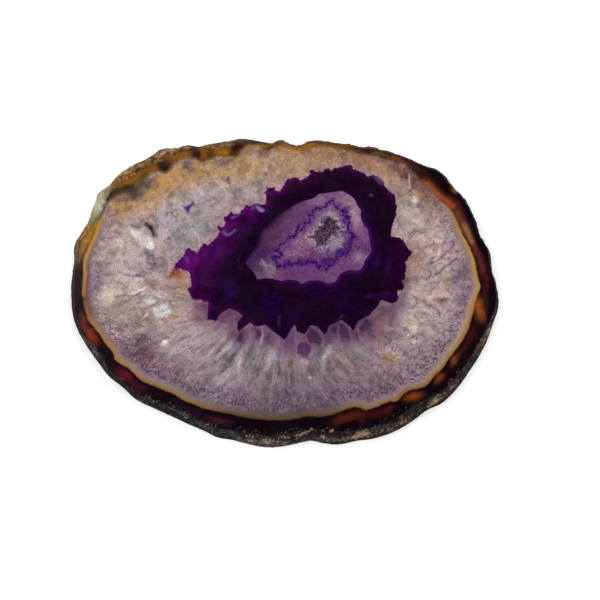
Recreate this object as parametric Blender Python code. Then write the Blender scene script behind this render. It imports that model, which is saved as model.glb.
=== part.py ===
"""A polished slice of dyed agate, cut flat on both faces, with the nodule's own
rough rind left round its edge.

The slice lies flat: +X runs along its length, +Z points up through the polished
face, and the origin is under the middle of the slice, on the surface it lies on.
Lengths in the tables are in millimetres, and the model is in metres.
"""

import math

import bmesh
import bpy
import numpy as np
from mathutils import Vector, noise

MM = 0.001

# Driving dimensions.
THICKNESS = 6.0            # between the two sawn faces
OUTLINE_SAMPLES = 220      # points round the slice, about 1.6 mm apart
NORMAL_SPAN = 5            # samples on each side that an outward direction is read over
FOOT_SPREAD = 0.0165       # the nodule widens below the cut by this share of the distance out
RIND_LUMP_SIZE = 3.2       # wavelength of the lumps in the rough rind
SHARP_EDGE = math.radians(40)

# The edge of the polished face, clockwise from the left end seen from above:
# x, y, and how far the foot of the rind stands out past the nodule's own spread.
FACE_EDGE = [
    (-60.25, 1.0, 0.80), (-60.15, 5.0, 0.80), (-59.60, 10.0, 0.95), (-59.00, 14.8, 1.60),
    (-55.50, 19.6, 2.25), (-52.85, 24.2, 3.30), (-51.45, 28.3, 3.40), (-49.60, 31.4, 2.20),
    (-46.00, 33.9, 3.30), (-42.20, 36.3, 3.50), (-38.00, 38.6, 3.30), (-35.00, 40.6, 3.60),
    (-33.40, 40.9, 3.70), (-31.50, 41.5, 2.70), (-27.90, 42.8, 2.50), (-25.00, 42.4, 2.20),
    (-21.60, 43.1, 2.50), (-16.50, 43.7, 2.60), (-13.00, 44.5, 2.70), (-9.20, 44.4, 2.40),
    (-6.00, 44.1, 2.00), (-4.00, 43.8, 1.80), (-1.10, 44.8, 1.90), (1.60, 43.7, 1.70),
    (4.00, 43.4, 1.60), (8.00, 44.8, 1.80), (12.00, 44.5, 1.80), (16.00, 43.8, 1.70),
    (18.70, 43.7, 1.70), (22.40, 42.8, 1.70), (24.70, 43.0, 1.90), (28.80, 41.8, 1.60),
    (33.90, 40.3, 1.50), (39.60, 37.8, 1.40), (44.90, 35.6, 1.20), (48.00, 31.8, 1.00),
    (51.60, 27.8, 0.90), (54.50, 21.8, 0.70), (56.00, 16.7, 0.60), (58.40, 12.5, 0.70),
    (59.00, 7.2, 0.40), (60.10, 2.8, 0.50), (60.50, -2.8, 0.50), (59.00, -7.7, 0.35),
    (56.85, -12.0, 0.95), (53.95, -17.0, 1.20), (50.25, -22.3, 1.25), (47.25, -26.1, 1.40),
    (43.40, -29.2, 1.80), (39.05, -31.2, 1.90), (34.30, -34.4, 2.15), (29.60, -37.3, 1.90),
    (24.30, -39.1, 1.80), (20.10, -39.7, 1.70), (15.30, -40.1, 2.35), (10.50, -39.9, 2.15),
    (7.40, -39.4, 1.95), (3.00, -40.3, 1.95), (-1.00, -40.9, 2.15), (-5.30, -41.1, 2.15),
    (-9.50, -40.5, 1.95), (-14.60, -39.8, 1.30), (-18.50, -39.3, 1.20), (-21.80, -38.2, 0.60),
    (-26.40, -35.8, 1.05), (-30.70, -33.8, 1.05), (-36.10, -31.9, 0.50), (-41.50, -29.4, 0.40),
    (-45.40, -26.0, 0.30), (-49.40, -22.9, 0.30), (-52.20, -17.9, 1.20), (-53.90, -16.3, 0.80),
    (-56.40, -13.3, 0.40), (-58.90, -8.5, 0.50), (-59.90, -4.0, 0.75),
]

# The side of the slice from the polished face down to the underside:
# share of the thickness, share of the foot's reach, and depth of the rind's lumps.
SIDE_PROFILE = [
    (0.96, 0.05, 0.03),
    (0.82, 0.26, 0.28),
    (0.64, 0.52, 0.40),
    (0.45, 0.74, 0.42),
    (0.26, 0.90, 0.34),
    (0.08, 1.00, 0.12),
    (0.00, 0.96, 0.00),
]

STONE_COLOUR = (0.30, 0.22, 0.30, 1.0)
STONE_ROUGHNESS = 0.18


def clear_scene():
    for old in list(bpy.data.objects):
        bpy.data.objects.remove(old, do_unlink=True)


def smooth_loop(rows, samples):
    """Evenly spaced points on a closed Catmull-Rom curve through the rows."""
    rows = np.array(rows)
    steps = 12
    before, after, beyond = (np.roll(rows, shift, axis=0) for shift in (1, -1, -2))
    curve = []
    for t in np.arange(steps) / steps:
        curve.append(0.5 * (2 * rows + (after - before) * t
                            + (2 * before - 5 * rows + 4 * after - beyond) * t**2
                            + (3 * rows - before - 3 * after + beyond) * t**3))
    curve = np.stack(curve, axis=1).reshape(-1, rows.shape[1])
    closed = np.vstack([curve, curve[:1]])
    lengths = np.hypot(*np.diff(closed[:, :2], axis=0).T)
    travelled = np.concatenate([[0.0], np.cumsum(lengths)])
    stops = np.arange(samples) * travelled[-1] / samples
    return np.stack([np.interp(stops, travelled, column) for column in closed.T], axis=1)


def outward_directions(points):
    """Unit vectors pointing away from the stone, read over a few neighbours."""
    along = np.roll(points, -NORMAL_SPAN, axis=0) - np.roll(points, NORMAL_SPAN, axis=0)
    outward = np.stack([-along[:, 1], along[:, 0]], axis=1)
    return outward / np.hypot(*outward.T)[:, None]


def rind_lump(x, y, z):
    """Signed lump height of the rough rind at a point, between about -1 and 1."""
    spot = Vector((x, y, z)) / RIND_LUMP_SIZE
    return noise.noise(spot) + 0.5 * noise.noise(spot * 2.3 + Vector((7.0, 1.0, 4.0)))


def stone_material():
    material = bpy.data.materials.new("polished agate")
    material.use_nodes = True
    shader = material.node_tree.nodes["Principled BSDF"]
    shader.inputs["Base Color"].default_value = STONE_COLOUR
    shader.inputs["Roughness"].default_value = STONE_ROUGHNESS
    shader.inputs["Metallic"].default_value = 0.0
    return material


def make_slice():
    """The polished face is drawn first and extruded down, ring by ring, to the underside."""
    edge = smooth_loop(FACE_EDGE, OUTLINE_SAMPLES)
    outline, reach = edge[:, :2], edge[:, 2]
    outward = outward_directions(outline)
    lean = outward * reach[:, None] + outline * FOOT_SPREAD
    foot = outline + lean
    middle = (foot.min(axis=0) + foot.max(axis=0)) / 2

    bpy.ops.mesh.primitive_circle_add(vertices=OUTLINE_SAMPLES, fill_type="NGON")
    stone = bpy.context.object
    mesh = bmesh.new()
    mesh.from_mesh(stone.data)
    mesh.verts.ensure_lookup_table()
    mesh.faces.ensure_lookup_table()
    ring = list(mesh.verts)
    face = polished = mesh.faces[0]
    for vert, (x, y) in zip(ring, outline - middle):
        vert.co = Vector((x, y, THICKNESS)) * MM

    for height_share, reach_share, lump_depth in SIDE_PROFILE:
        height = THICKNESS * height_share
        grown = bmesh.ops.extrude_face_region(mesh, geom=[face])["geom"]
        below = next(part for part in grown if isinstance(part, bmesh.types.BMFace))
        links = {edge.other_vert(old): slot for slot, old in enumerate(ring)
                 for edge in old.link_edges if edge.other_vert(old) in below.verts}
        for vert, slot in links.items():
            x, y = outline[slot] - middle
            lump = lump_depth * rind_lump(x, y, height)
            x, y = (x, y) + lean[slot] * reach_share + outward[slot] * lump
            vert.co = Vector((x, y, height)) * MM
        ring = [vert for vert, _ in sorted(links.items(), key=lambda item: item[1])]
        if face is not polished:
            mesh.faces.remove(face)
        face = below

    bmesh.ops.triangulate(mesh, faces=list(mesh.faces))
    bmesh.ops.recalc_face_normals(mesh, faces=list(mesh.faces))
    mesh.to_mesh(stone.data)
    mesh.free()
    stone.name = stone.data.name = "agate_slice"
    stone.data.shade_smooth()
    stone.data.set_sharp_from_angle(angle=SHARP_EDGE)
    stone.data.materials.append(stone_material())
    return stone


def main():
    clear_scene()
    collection = bpy.data.collections.new("agate slice")
    bpy.context.scene.collection.children.link(collection)
    stone = make_slice()
    for home in list(stone.users_collection):
        home.objects.unlink(stone)
    collection.objects.link(stone)


main()
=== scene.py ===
import math

import bpy
import numpy as np
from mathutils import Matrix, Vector, noise
from mathutils.bvhtree import BVHTree


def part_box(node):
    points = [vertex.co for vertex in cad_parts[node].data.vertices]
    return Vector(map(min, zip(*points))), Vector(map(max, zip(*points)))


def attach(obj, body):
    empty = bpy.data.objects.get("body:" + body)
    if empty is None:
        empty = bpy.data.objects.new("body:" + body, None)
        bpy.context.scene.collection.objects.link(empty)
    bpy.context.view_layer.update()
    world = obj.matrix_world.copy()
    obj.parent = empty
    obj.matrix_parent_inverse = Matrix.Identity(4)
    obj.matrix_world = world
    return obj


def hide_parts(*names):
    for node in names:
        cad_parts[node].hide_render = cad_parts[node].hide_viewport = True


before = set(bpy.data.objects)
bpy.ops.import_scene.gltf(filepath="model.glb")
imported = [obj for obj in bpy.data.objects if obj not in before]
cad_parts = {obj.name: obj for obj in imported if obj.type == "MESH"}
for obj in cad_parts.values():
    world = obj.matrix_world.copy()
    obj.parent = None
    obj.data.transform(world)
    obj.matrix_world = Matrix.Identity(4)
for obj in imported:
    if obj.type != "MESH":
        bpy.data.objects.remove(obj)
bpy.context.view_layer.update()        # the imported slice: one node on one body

mm = 0.001
hair = 1e-3              # mm, smaller differences in height count as level
stoneLow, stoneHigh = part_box("agate_slice")
thickness = (stoneHigh[2] - stoneLow[2]) / mm
drawnShift = np.array([0.0, -2.0])     # mm, from the middle of the drawing to the middle of the slice's box
drawnLean = 0.2126       # the drawing was made from 12 degrees off straight down
seenBrighter = 1.45      # the studio light shows a tone this much brighter than its own colour
polishVeil = 0.0012      # light that the polish itself sends back over the darkest tones
darkest = 0.0002         # no colour of the stone is darker than this
softness = 0.7           # how soon a soft spot or a stroke fades past its edge


# Lines of the pattern, in mm, clockwise seen from above, as drawn on the polished face.

# outer edge of the golden band, where the dark rim ends
goldLine = [
    (-57.95, 0), (-57.8, 5), (-57.85, 9.5), (-56.6, 13), (-55.4, 16), (-54.3, 19.5), (-53.3, 22),
    (-52.3, 24.5), (-51, 26.8), (-49, 28.2), (-46.5, 29), (-43.6, 29.3), (-41.6, 31), (-40.3, 33.5),
    (-38.5, 35.5), (-36.5, 35.9), (-34.8, 35.4), (-33.4, 36.7), (-32, 38.7), (-29.5, 39.7),
    (-26.5, 40), (-24.5, 39), (-22.3, 39.5), (-19.5, 40.7), (-16.5, 40.6), (-14, 40.8), (-13, 42.3),
    (-11, 43.9), (-9, 44.1), (-7, 43.4), (-4.8, 42.6), (-2.8, 43.4), (-1, 43.8), (1, 43.2),
    (3.3, 42.6), (5.5, 42.6), (8, 43.3), (11, 43.6), (14, 43.2), (17, 42.6), (20, 42), (23, 41.3),
    (26, 40.9), (29, 40), (32, 39.1), (34.8, 38.6), (36.4, 37.3), (38, 35.2), (40.4, 32.7),
    (42.2, 30.9), (43.6, 29), (45, 27.3), (46.6, 26), (48.2, 24.2), (49.6, 21.6), (50.6, 19),
    (51.6, 16.6), (52.6, 14.7), (53.6, 12.4), (54.5, 10), (55, 7), (55.6, 3.8), (56.1, 1.4),
    (55.2, -1), (54.4, -3.5), (53.9, -5.5), (53.2, -8), (52.5, -10.3), (51.3, -12.8), (49.8, -15.2),
    (47.9, -17.7), (46.4, -19.6), (45.2, -21.5), (44.1, -22.8), (42.6, -24), (41.5, -25.4),
    (40.3, -26.8), (38.6, -27.7), (36.6, -28.1), (34.9, -28.6), (33.5, -29.6), (32.4, -30.9),
    (31.4, -31.6), (29.8, -31.6), (28, -32.2), (25.5, -33.3), (23, -34), (21.6, -33.5),
    (20.2, -33.1), (18.3, -33.5), (16.5, -34.1), (14.3, -35), (12, -35.6), (9.5, -35.9),
    (7, -35.75), (5, -36), (2.5, -36.6), (-1, -36.9), (-5, -36.75), (-9, -36.4), (-12.4, -35.8),
    (-15, -35.1), (-18, -34.6), (-20.8, -33.9), (-22.9, -33.5), (-24.7, -32.6), (-27, -31.8),
    (-29, -30.8), (-31.5, -29.3), (-34, -28.3), (-36.3, -27.3), (-38.2, -26.6), (-40.3, -25.6),
    (-42.1, -24.1), (-43.8, -22.3), (-46.2, -20.9), (-48, -19.6), (-48.4, -17.9), (-49.5, -16.5),
    (-50.9, -14.9), (-52.3, -12.6), (-54.4, -10.1), (-56, -8.1), (-57, -5), (-57.6, -2.5),
]

# jagged edge of the dyed purple crystals
purpleLine = [
    (-31.7, 6.9), (-31.5, 8.3), (-29.9, 9.9), (-28.8, 11.2), (-28.7, 12.3), (-27.7, 13.1),
    (-26.3, 12.3), (-25, 11.4), (-24.2, 13.3), (-23.4, 14.3), (-22.6, 14.2), (-22.2, 13.7),
    (-21.2, 14.7), (-19.9, 15.9), (-19.2, 17.1), (-18.7, 18), (-19.4, 18.6), (-19.6, 20.2),
    (-18.6, 19.2), (-17.6, 19.2), (-17.1, 20.5), (-17.9, 22.2), (-16.6, 22.6), (-15.5, 24),
    (-14.8, 23.1), (-13, 23.3), (-12.8, 24.3), (-11.8, 24.5), (-11.4, 26), (-10.4, 25.5),
    (-9.7, 25.7), (-9, 26), (-8.4, 26.4), (-7.4, 26), (-5.7, 26), (-5.4, 27.4), (-5.5, 29.1),
    (-6.7, 29.3), (-5.3, 30), (-5.2, 31.4), (-4.7, 30.9), (-2.9, 31.4), (-2.7, 30.2), (-1.5, 30),
    (-1, 31), (0, 32.2), (0.7, 33.8), (1.7, 33.8), (3.3, 34.3), (4.5, 33.3), (6.3, 34.1),
    (7.4, 35.2), (7.2, 36.1), (8, 36.6), (9, 35.9), (11, 35.9), (12, 36.9), (13.2, 36.9),
    (13.4, 36.1), (14.4, 37), (16.4, 37.3), (18.1, 37.9), (19.5, 38), (20, 36.6), (21.5, 36.1),
    (23.2, 35.4), (24, 34.5), (25.5, 34.9), (27.2, 34.3), (28.7, 33.1), (29, 31.6), (29.9, 30.5),
    (30.9, 29.5), (32, 29), (32.2, 27.8), (32.1, 26.4), (32.7, 25.2), (32.2, 24.3), (32.4, 22.9),
    (31.7, 21.2), (31.1, 19.5), (30.8, 17.8), (30.6, 16.6), (31.5, 16.2), (32.8, 16.2),
    (34.2, 15.4), (34.8, 14), (35.8, 12.6), (37, 11.8), (36.4, 10.9), (35.5, 9.9), (34.7, 8.7),
    (35, 7.2), (34.6, 5.5), (34.7, 4.1), (33.7, 3.1), (34.3, 1.5), (34, 0.6), (32.3, 0.5),
    (32.2, -0.5), (32.7, -1.5), (32, -2.9), (30.8, -3.4), (29.4, -2.9), (27.4, -2.4), (26.8, -3.9),
    (25, -5.9), (24.1, -7), (23.3, -7.2), (22.3, -7.9), (21, -8.5), (20.3, -9.9), (19.6, -11.5),
    (18.7, -10.2), (17.4, -9.1), (16, -8.1), (14.7, -9.1), (12.8, -9.9), (12.1, -11.5),
    (11.6, -12.4), (10.6, -11.5), (9.5, -10.2), (7.5, -9.7), (6.7, -10.9), (5.7, -12.4),
    (4.6, -11.9), (3.4, -11.5), (3.3, -10.5), (3, -9.4), (1.7, -11.2), (0.7, -13.2), (0, -13.9),
    (-1, -13.2), (-2.6, -11.9), (-3.9, -10.9), (-5.5, -9.5), (-6.9, -10), (-8.8, -9.9),
    (-9.6, -8.9), (-10.8, -9.7), (-12, -10.7), (-12.8, -11.5), (-13.4, -10.9), (-13.4, -8.9),
    (-12, -6.9), (-13.7, -5.7), (-15.8, -4.8), (-17.1, -5.6), (-18.3, -6.5), (-19.1, -7.9),
    (-19.4, -8.7), (-21, -8), (-22, -8.2), (-21.9, -6.2), (-21.8, -3), (-23.2, -2.9),
    (-23.6, -2.4), (-26.1, -2.2), (-26.7, -1.5), (-27.6, 0.4), (-28.1, 0.6), (-27.3, 1.3),
    (-26.8, 1.6), (-26.8, 3.5), (-27.2, 5.1), (-27.4, 5.9), (-28.4, 6.3), (-30, 6.8),
]

# scalloped edge of the pale lavender middle
windowLine = [
    (-11.1, 8.6), (-10, 10), (-8.6, 11.7), (-7, 13.3), (-5.7, 15.4), (-5, 16.8), (-3.7, 17.4),
    (-2.1, 19.1), (-1.1, 20.5), (0, 22.2), (1.3, 23.8), (3, 25.5), (4.6, 26.4), (6.3, 27.2),
    (8.3, 27.8), (10, 29.1), (12.2, 29.4), (14.3, 29.7), (16.3, 30), (17.9, 29.3), (19.2, 28.5),
    (20.2, 27.4), (21.3, 25.3), (22.1, 24.1), (21.9, 22.9), (22.2, 21.2), (23, 19.5), (23.9, 18.6),
    (24.2, 17.4), (24.5, 15.4), (24.7, 14), (24.9, 12.6), (24.6, 11.5), (23.6, 10), (22.9, 9),
    (22.6, 7.7), (21.8, 6.7), (20.6, 6.3), (19.4, 6.45), (17.9, 6.25), (16.5, 5.7), (15.5, 4.85),
    (15, 3.5), (13.9, 2.8), (12.5, 2.5), (11.2, 3.05), (9.6, 3.5), (8, 3.4), (6.3, 3), (5.1, 2.4),
    (4, 3.1), (2.4, 3.6), (0.7, 3.6), (-1, 3.3), (-2.6, 3.7), (-4.2, 4), (-6.2, 4), (-7.5, 3.8),
    (-8.2, 4.8), (-8.9, 6.2), (-10.2, 7.3),
]

# thin indigo line that wanders round inside the middle
zigzagLine = [
    (-3.4, 10.2), (-2.8, 10.5), (-1.3, 10.4), (-0.9, 11), (-1.2, 11.5), (-1.8, 11.9), (-3.1, 12.3),
    (-1.7, 12.3), (-1.3, 13.4), (-0.9, 14), (0.2, 14.1), (0.6, 15.4), (0.8, 15.9), (1.7, 16.3),
    (2.7, 16.1), (3, 17), (3.6, 17.9), (3.5, 18.8), (4.1, 19.8), (3.9, 18.9), (4.6, 18.2), (5, 18.3),
    (5.6, 19.5), (5.8, 20.4), (7, 20.8), (7.3, 21.9), (7, 22.8), (8.2, 22.4), (8.2, 23.4),
    (8.6, 24.6), (8.9, 25), (9.8, 24.8), (10.5, 24.3), (11.2, 25.1), (12.3, 25.7), (12.4, 26.2),
    (13.2, 26.9), (13.9, 27.2), (14, 26.5), (14.5, 25.7), (15.5, 24.7), (16.2, 24.2), (17.6, 24.2),
    (17.9, 24.9), (17.8, 24), (17, 23.7), (16.4, 23), (17.7, 22.6), (18.9, 22.2), (17.7, 21.6),
    (16.9, 20.9), (17.7, 20.5), (18.8, 20.3), (18.2, 19.3), (18, 18.4), (19.2, 17.5), (19.8, 16.4),
    (20.9, 16.1), (19.4, 15.7), (19, 15.2), (18.7, 14.1), (18.2, 13.1), (17.8, 12.1), (18.2, 11.2),
    (16.5, 10.9), (15.5, 10.5), (14.8, 10.1), (14.7, 9.5), (14, 8.7), (13.5, 7.9), (12.3, 7.8),
    (12, 6.6), (11.7, 7.5), (10.3, 7.8), (9.8, 6.9), (9.3, 7.8), (8.8, 8.4), (8.3, 8.7), (7.3, 8.8),
    (6, 8.4), (5, 8.3), (4, 8.7), (3, 8.3), (1.8, 8.1), (1, 8.8), (0.5, 8.4), (0, 7.4), (-1.4, 7.7),
    (-2.1, 7.2), (-2.4, 7.9), (-2.7, 9.2),
]

# small grey-brown pocket of tiny crystals
druseLine = [
    (13.2, 22.5), (13.9, 21.7), (14.7, 21.1), (14.8, 20.3), (14.9, 19.5), (16.3, 19.1), (15, 18.8),
    (14.9, 17.5), (13.5, 16.8), (12.9, 15.7), (11.5, 14.1), (10.5, 13.5), (9.8, 14.1), (8.9, 15.2),
    (8.5, 16.1), (7, 16.3), (8.6, 16.6), (9.3, 17.2), (9, 18), (10, 18.6), (11, 19.2), (11.4, 20.2),
    (10.5, 20.6), (11.6, 20.9), (11.6, 21.5), (12.4, 22),
]


# small helpers

def drawn(line):
    # a drawn line in the slice's own frame, in mm
    return np.array(line, float) + drawnShift


def rounded(line, steps=4):
    # a smooth closed curve through a drawn line
    rows = drawn(line)
    before, after, beyond = (np.roll(rows, shift, axis=0) for shift in (1, -1, -2))
    curve = []
    for t in np.arange(steps) / steps:
        curve.append(0.5 * (2 * rows + (after - before) * t
                            + (2 * before - 5 * rows + 4 * after - beyond) * t**2
                            + (3 * rows - before - 3 * after + beyond) * t**3))
    return np.stack(curve, axis=1).reshape(-1, 2)


def nearestOn(spots, line, closed=True):
    # distance and nearest place on a line, and for a closed one the distance is positive inside
    best = np.full(len(spots), 1e9)
    nearest = np.zeros((len(spots), 2))
    inside = np.zeros(len(spots), bool)
    ends = np.roll(line, -1, axis=0)
    for start, end in list(zip(line, ends))[:len(line) if closed else -1]:
        along = end - start
        away = spots - start
        share = np.clip(away @ along / max(along @ along, 1e-9), 0, 1)
        foot = start + share[:, None] * along
        gap = ((spots - foot) ** 2).sum(axis=1)
        closer = gap < best
        best[closer] = gap[closer]
        nearest[closer] = foot[closer]
        if closed and start[1] != end[1]:
            crossed = (start[1] > spots[:, 1]) != (end[1] > spots[:, 1])
            crossing = start[0] + (spots[:, 1] - start[1]) * along[0] / along[1]
            inside ^= crossed & (spots[:, 0] < crossing)
    gap = np.sqrt(best)
    return (np.where(inside, gap, -gap) if closed else gap), nearest


def blotches(spots, size, seed):
    # soft random field between about -1 and 1, with lumps of the given size in mm
    table = np.random.default_rng(seed).uniform(-1, 1, (256, 256))
    at = spots / size + 128.37
    whole = np.floor(at).astype(int)
    part = at - whole
    part = part * part * (3 - 2 * part)
    x, y = whole[:, 0] % 255, whole[:, 1] % 255
    low = table[y, x] * (1 - part[:, 0]) + table[y, x + 1] * part[:, 0]
    high = table[y + 1, x] * (1 - part[:, 0]) + table[y + 1, x + 1] * part[:, 0]
    return low * (1 - part[:, 1]) + high * part[:, 1]


def linear(tone):
    # the stone's own colour for a screen tone from 0 to 255 as it looks in the studio light
    tone = np.array(tone, float) / 255
    light = np.where(tone < 0.04045, tone / 12.92, ((tone + 0.055) / 1.055) ** 2.4)
    return np.maximum(light - polishVeil, darkest) / seenBrighter


def ink(tone):
    return (*linear(tone).tolist(), 1.0)


def smoothStep(value, low, high):
    t = np.clip((value - low) / (high - low), 0, 1)
    return t * t * (3 - 2 * t)


def fetch(group, name, kind=np.int32, width=1):
    # one value of every point, edge, face or corner of a mesh
    flat = np.empty(len(group) * width, kind)
    group.foreach_get(name, flat)
    return flat


def readPoints(piece):
    return fetch(piece.data.vertices, "co", np.float32, 3).reshape(-1, 3).astype(float) / mm


def writePoints(piece, spots):
    piece.data.vertices.foreach_set("co", (spots * mm).astype(np.float32).ravel())
    piece.data.update()


def takeOnly(piece):
    # leave this piece alone selected and active
    if bpy.context.object and bpy.context.object.mode != "OBJECT":
        bpy.ops.object.mode_set(mode="OBJECT")
    bpy.ops.object.select_all(action="DESELECT")
    piece.select_set(True)
    bpy.context.view_layer.objects.active = piece


def openWith(piece, kind, mask):
    # open a piece in edit mode with just these points, edges or faces selected
    takeOnly(piece)
    groups = {"VERT": piece.data.vertices, "EDGE": piece.data.edges, "FACE": piece.data.polygons}
    for name, group in groups.items():
        group.foreach_set("select", mask if name == kind else np.zeros(len(group), bool))
    bpy.context.tool_settings.mesh_select_mode = [name == kind for name in groups]
    bpy.ops.object.mode_set(mode="EDIT")


def openEdges(piece):
    # edges that only one face uses
    used = fetch(piece.data.loops, "edge_index")
    return np.bincount(used, minlength=len(piece.data.edges)) == 1


def faceTable(piece, corners):
    # the faces with this many corners, and the points of each
    mesh = piece.data
    starts = fetch(mesh.polygons, "loop_start")
    points = fetch(mesh.loops, "vertex_index")
    faces = np.flatnonzero(fetch(mesh.polygons, "loop_total") == corners)
    return faces, points[starts[faces][:, None] + np.arange(corners)]


# the stone

stoneShape = {
    "faceStep": 0.38,       # mm between points of the polished face, fine enough for a crisp pattern
    "underStep": 0.60,      # mm between points of the underside
    "underInset": 0.7,      # mm from the foot of the rind to the first row of the underside
    "rings": [0.985, 0.96, 0.89, 0.82, 0.73, 0.64, 0.55, 0.45, 0.355, 0.26, 0.17, 0.08, 0.03, 0.0],
    "weld": 0.01,           # mm, doubled points of the solid that are closer than this are merged
    "rindRelief": 0.45,     # mm, depth of the pits in the rough rind
    "rindLump": 1.2,        # mm, size of the lumps between them
    "rindSquash": 1.3,      # the lumps are this much flatter than wide
    "finePits": 0.6,        # share of the finer pits
    "finePitSize": 0.42,    # their size, against the size of the lumps
    "druseDepth": 0.5,      # mm, depth of the pocket of crystals
    "druseSlope": (-0.2, 0.9),    # mm inside its drawn border, where it starts and where it is full
    "tipSize": 0.55,        # mm, size of the crystals in the pocket
    "tipDepth": 0.45,       # how deep their tips lie, against the depth of the pocket
    "betweenTips": 1.1,     # how much deeper it gets between them
}


def ringOfSolid(spots, height):
    # the solid's outline at one height, in order round the slice
    ring = spots[np.abs(spots[:, 2] - height) < hair][:, :2]
    return ring[np.argsort(np.arctan2(ring[:, 1], ring[:, 0]))]


def cutSheet(outline, step, height):
    # a grid laid over the outline, its nearest points pulled onto it and the rest cut away
    middle = (outline.min(axis=0) + outline.max(axis=0)) / 2
    counts = np.ceil(np.ptp(outline, axis=0) / step).astype(int) + 2
    bpy.ops.object.select_all(action="DESELECT")
    bpy.ops.mesh.primitive_grid_add(
        x_subdivisions=int(counts[0]), y_subdivisions=int(counts[1]), size=step * mm,
        location=(middle[0] * mm, middle[1] * mm, height * mm))
    sheet = bpy.context.object
    sheet.scale = (counts[0], counts[1], 1.0)
    bpy.ops.object.transform_apply(location=True, rotation=True, scale=True)

    spots = readPoints(sheet)
    gap, nearest = nearestOn(spots[:, :2], outline)
    pulled = np.abs(gap) < step / 2
    outside = (gap < 0) & ~pulled
    spots[pulled, :2] = nearest[pulled]
    writePoints(sheet, spots)

    # a square with one corner outside is split from corner to corner along the outline
    for way, corners in (("FIXED", (1, 3)), ("FIXED_ALTERNATE", (0, 2))):
        faces, points = faceTable(sheet, 4)
        lone = (outside[points].sum(axis=1) == 1) & (pulled[points].sum(axis=1) == 2)
        lone &= outside[points][:, corners].any(axis=1)
        mask = np.zeros(len(sheet.data.polygons), bool)
        mask[faces[lone]] = True
        openWith(sheet, "FACE", mask)
        bpy.ops.mesh.quads_convert_to_tris(quad_method=way, ngon_method="BEAUTY")
        bpy.ops.object.mode_set(mode="OBJECT")

    waste = np.zeros(len(sheet.data.polygons), bool)
    for corners in (3, 4):
        faces, points = faceTable(sheet, corners)
        waste[faces] = outside[points].any(axis=1) | pulled[points].all(axis=1)
    openWith(sheet, "FACE", waste)
    bpy.ops.mesh.delete(type="FACE")
    bpy.ops.mesh.select_all(action="SELECT")
    bpy.ops.mesh.delete_loose(use_verts=True, use_edges=True, use_faces=False)
    bpy.ops.object.mode_set(mode="OBJECT")
    return sheet


def rindNoise(x, y, z, size):
    return noise.noise(Vector((x, y, z)) / size)


def makeStone():
    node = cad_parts["agate_slice"]
    bpy.ops.object.select_all(action="DESELECT")
    solid = node.copy()
    solid.data = node.data.copy()
    solid.parent = None
    bpy.context.collection.objects.link(solid)
    takeOnly(solid)
    bpy.ops.object.mode_set(mode="EDIT")
    bpy.ops.mesh.select_all(action="SELECT")
    bpy.ops.mesh.remove_doubles(threshold=stoneShape["weld"] * mm)
    bpy.ops.object.mode_set(mode="OBJECT")
    solidSpots = readPoints(solid)
    faceEdge = ringOfSolid(solidSpots, thickness)
    footEdge = ringOfSolid(solidSpots, 0.0)
    walls = BVHTree.FromObject(solid, bpy.context.evaluated_depsgraph_get())

    stone = cutSheet(faceEdge, stoneShape["faceStep"], thickness)
    stone.name = stone.data.name = "polished_slice"
    print("polished face:", len(stone.data.polygons), "faces")

    # the side is extruded down ring by ring, then each ring is set out to the solid's wall
    openWith(stone, "EDGE", openEdges(stone))
    heights = [share * thickness for share in [1.0] + stoneShape["rings"]]
    for above, below in zip(heights, heights[1:]):
        bpy.ops.mesh.extrude_region_move(
            TRANSFORM_OT_translate={"value": (0, 0, (below - above) * mm)})
    bpy.ops.object.mode_set(mode="OBJECT")
    spots = readPoints(stone)
    clear = 0.02      # mm, keeps the rays off the flat faces
    lump = stoneShape["rindLump"]
    for slot in np.flatnonzero(spots[:, 2] < thickness - hair):
        x, y, z = spots[slot]
        level = min(max(z, clear), thickness - clear)
        out = Vector((x, y, 0)).normalized()
        hit = walls.ray_cast(Vector((0, 0, level * mm)), out)[0]
        rough = math.sin(math.pi * min(max(z / thickness, 0), 1)) ** 0.5 if z > hair else 0.0
        pits = 0.5 - rindNoise(hit.x / mm, hit.y / mm, z * stoneShape["rindSquash"], lump)
        pits += stoneShape["finePits"] * abs(
            rindNoise(hit.x / mm, hit.y / mm, z, lump * stoneShape["finePitSize"]))
        hit = hit / mm - out * (rough * stoneShape["rindRelief"] * max(pits, 0))
        spots[slot] = (hit.x, hit.y, z)
    writePoints(stone, spots)

    # the underside is a coarser sheet just inside the foot, and the gap round it is filled
    radius = np.hypot(*footEdge.T)[:, None]
    under = cutSheet(footEdge * (1 - stoneShape["underInset"] / radius), stoneShape["underStep"], 0.0)
    under.select_set(True)
    stone.select_set(True)
    bpy.context.view_layer.objects.active = stone
    bpy.ops.object.join()
    openWith(stone, "EDGE", openEdges(stone))
    bpy.ops.mesh.fill(use_beauty=True)
    bpy.ops.mesh.select_all(action="SELECT")
    bpy.ops.mesh.normals_make_consistent(inside=False)
    bpy.ops.object.mode_set(mode="OBJECT")
    bpy.ops.object.select_all(action="DESELECT")
    bpy.data.objects.remove(solid, do_unlink=True)
    print("whole stone:", len(stone.data.polygons), "faces, open edges:", openEdges(stone).sum())
    return stone, faceEdge, footEdge


# paint: screen tones from 0 to 255 and places in mm, with spots as
# (tone, x, y, half length, half width, turn in degrees, strength), facets as
# (tone, strength, corners), and strokes as (tone, half width, strength, points along it).
# "wander" is about how far in mm the borders stray, and "edge" how sharply the spots end.

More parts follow.
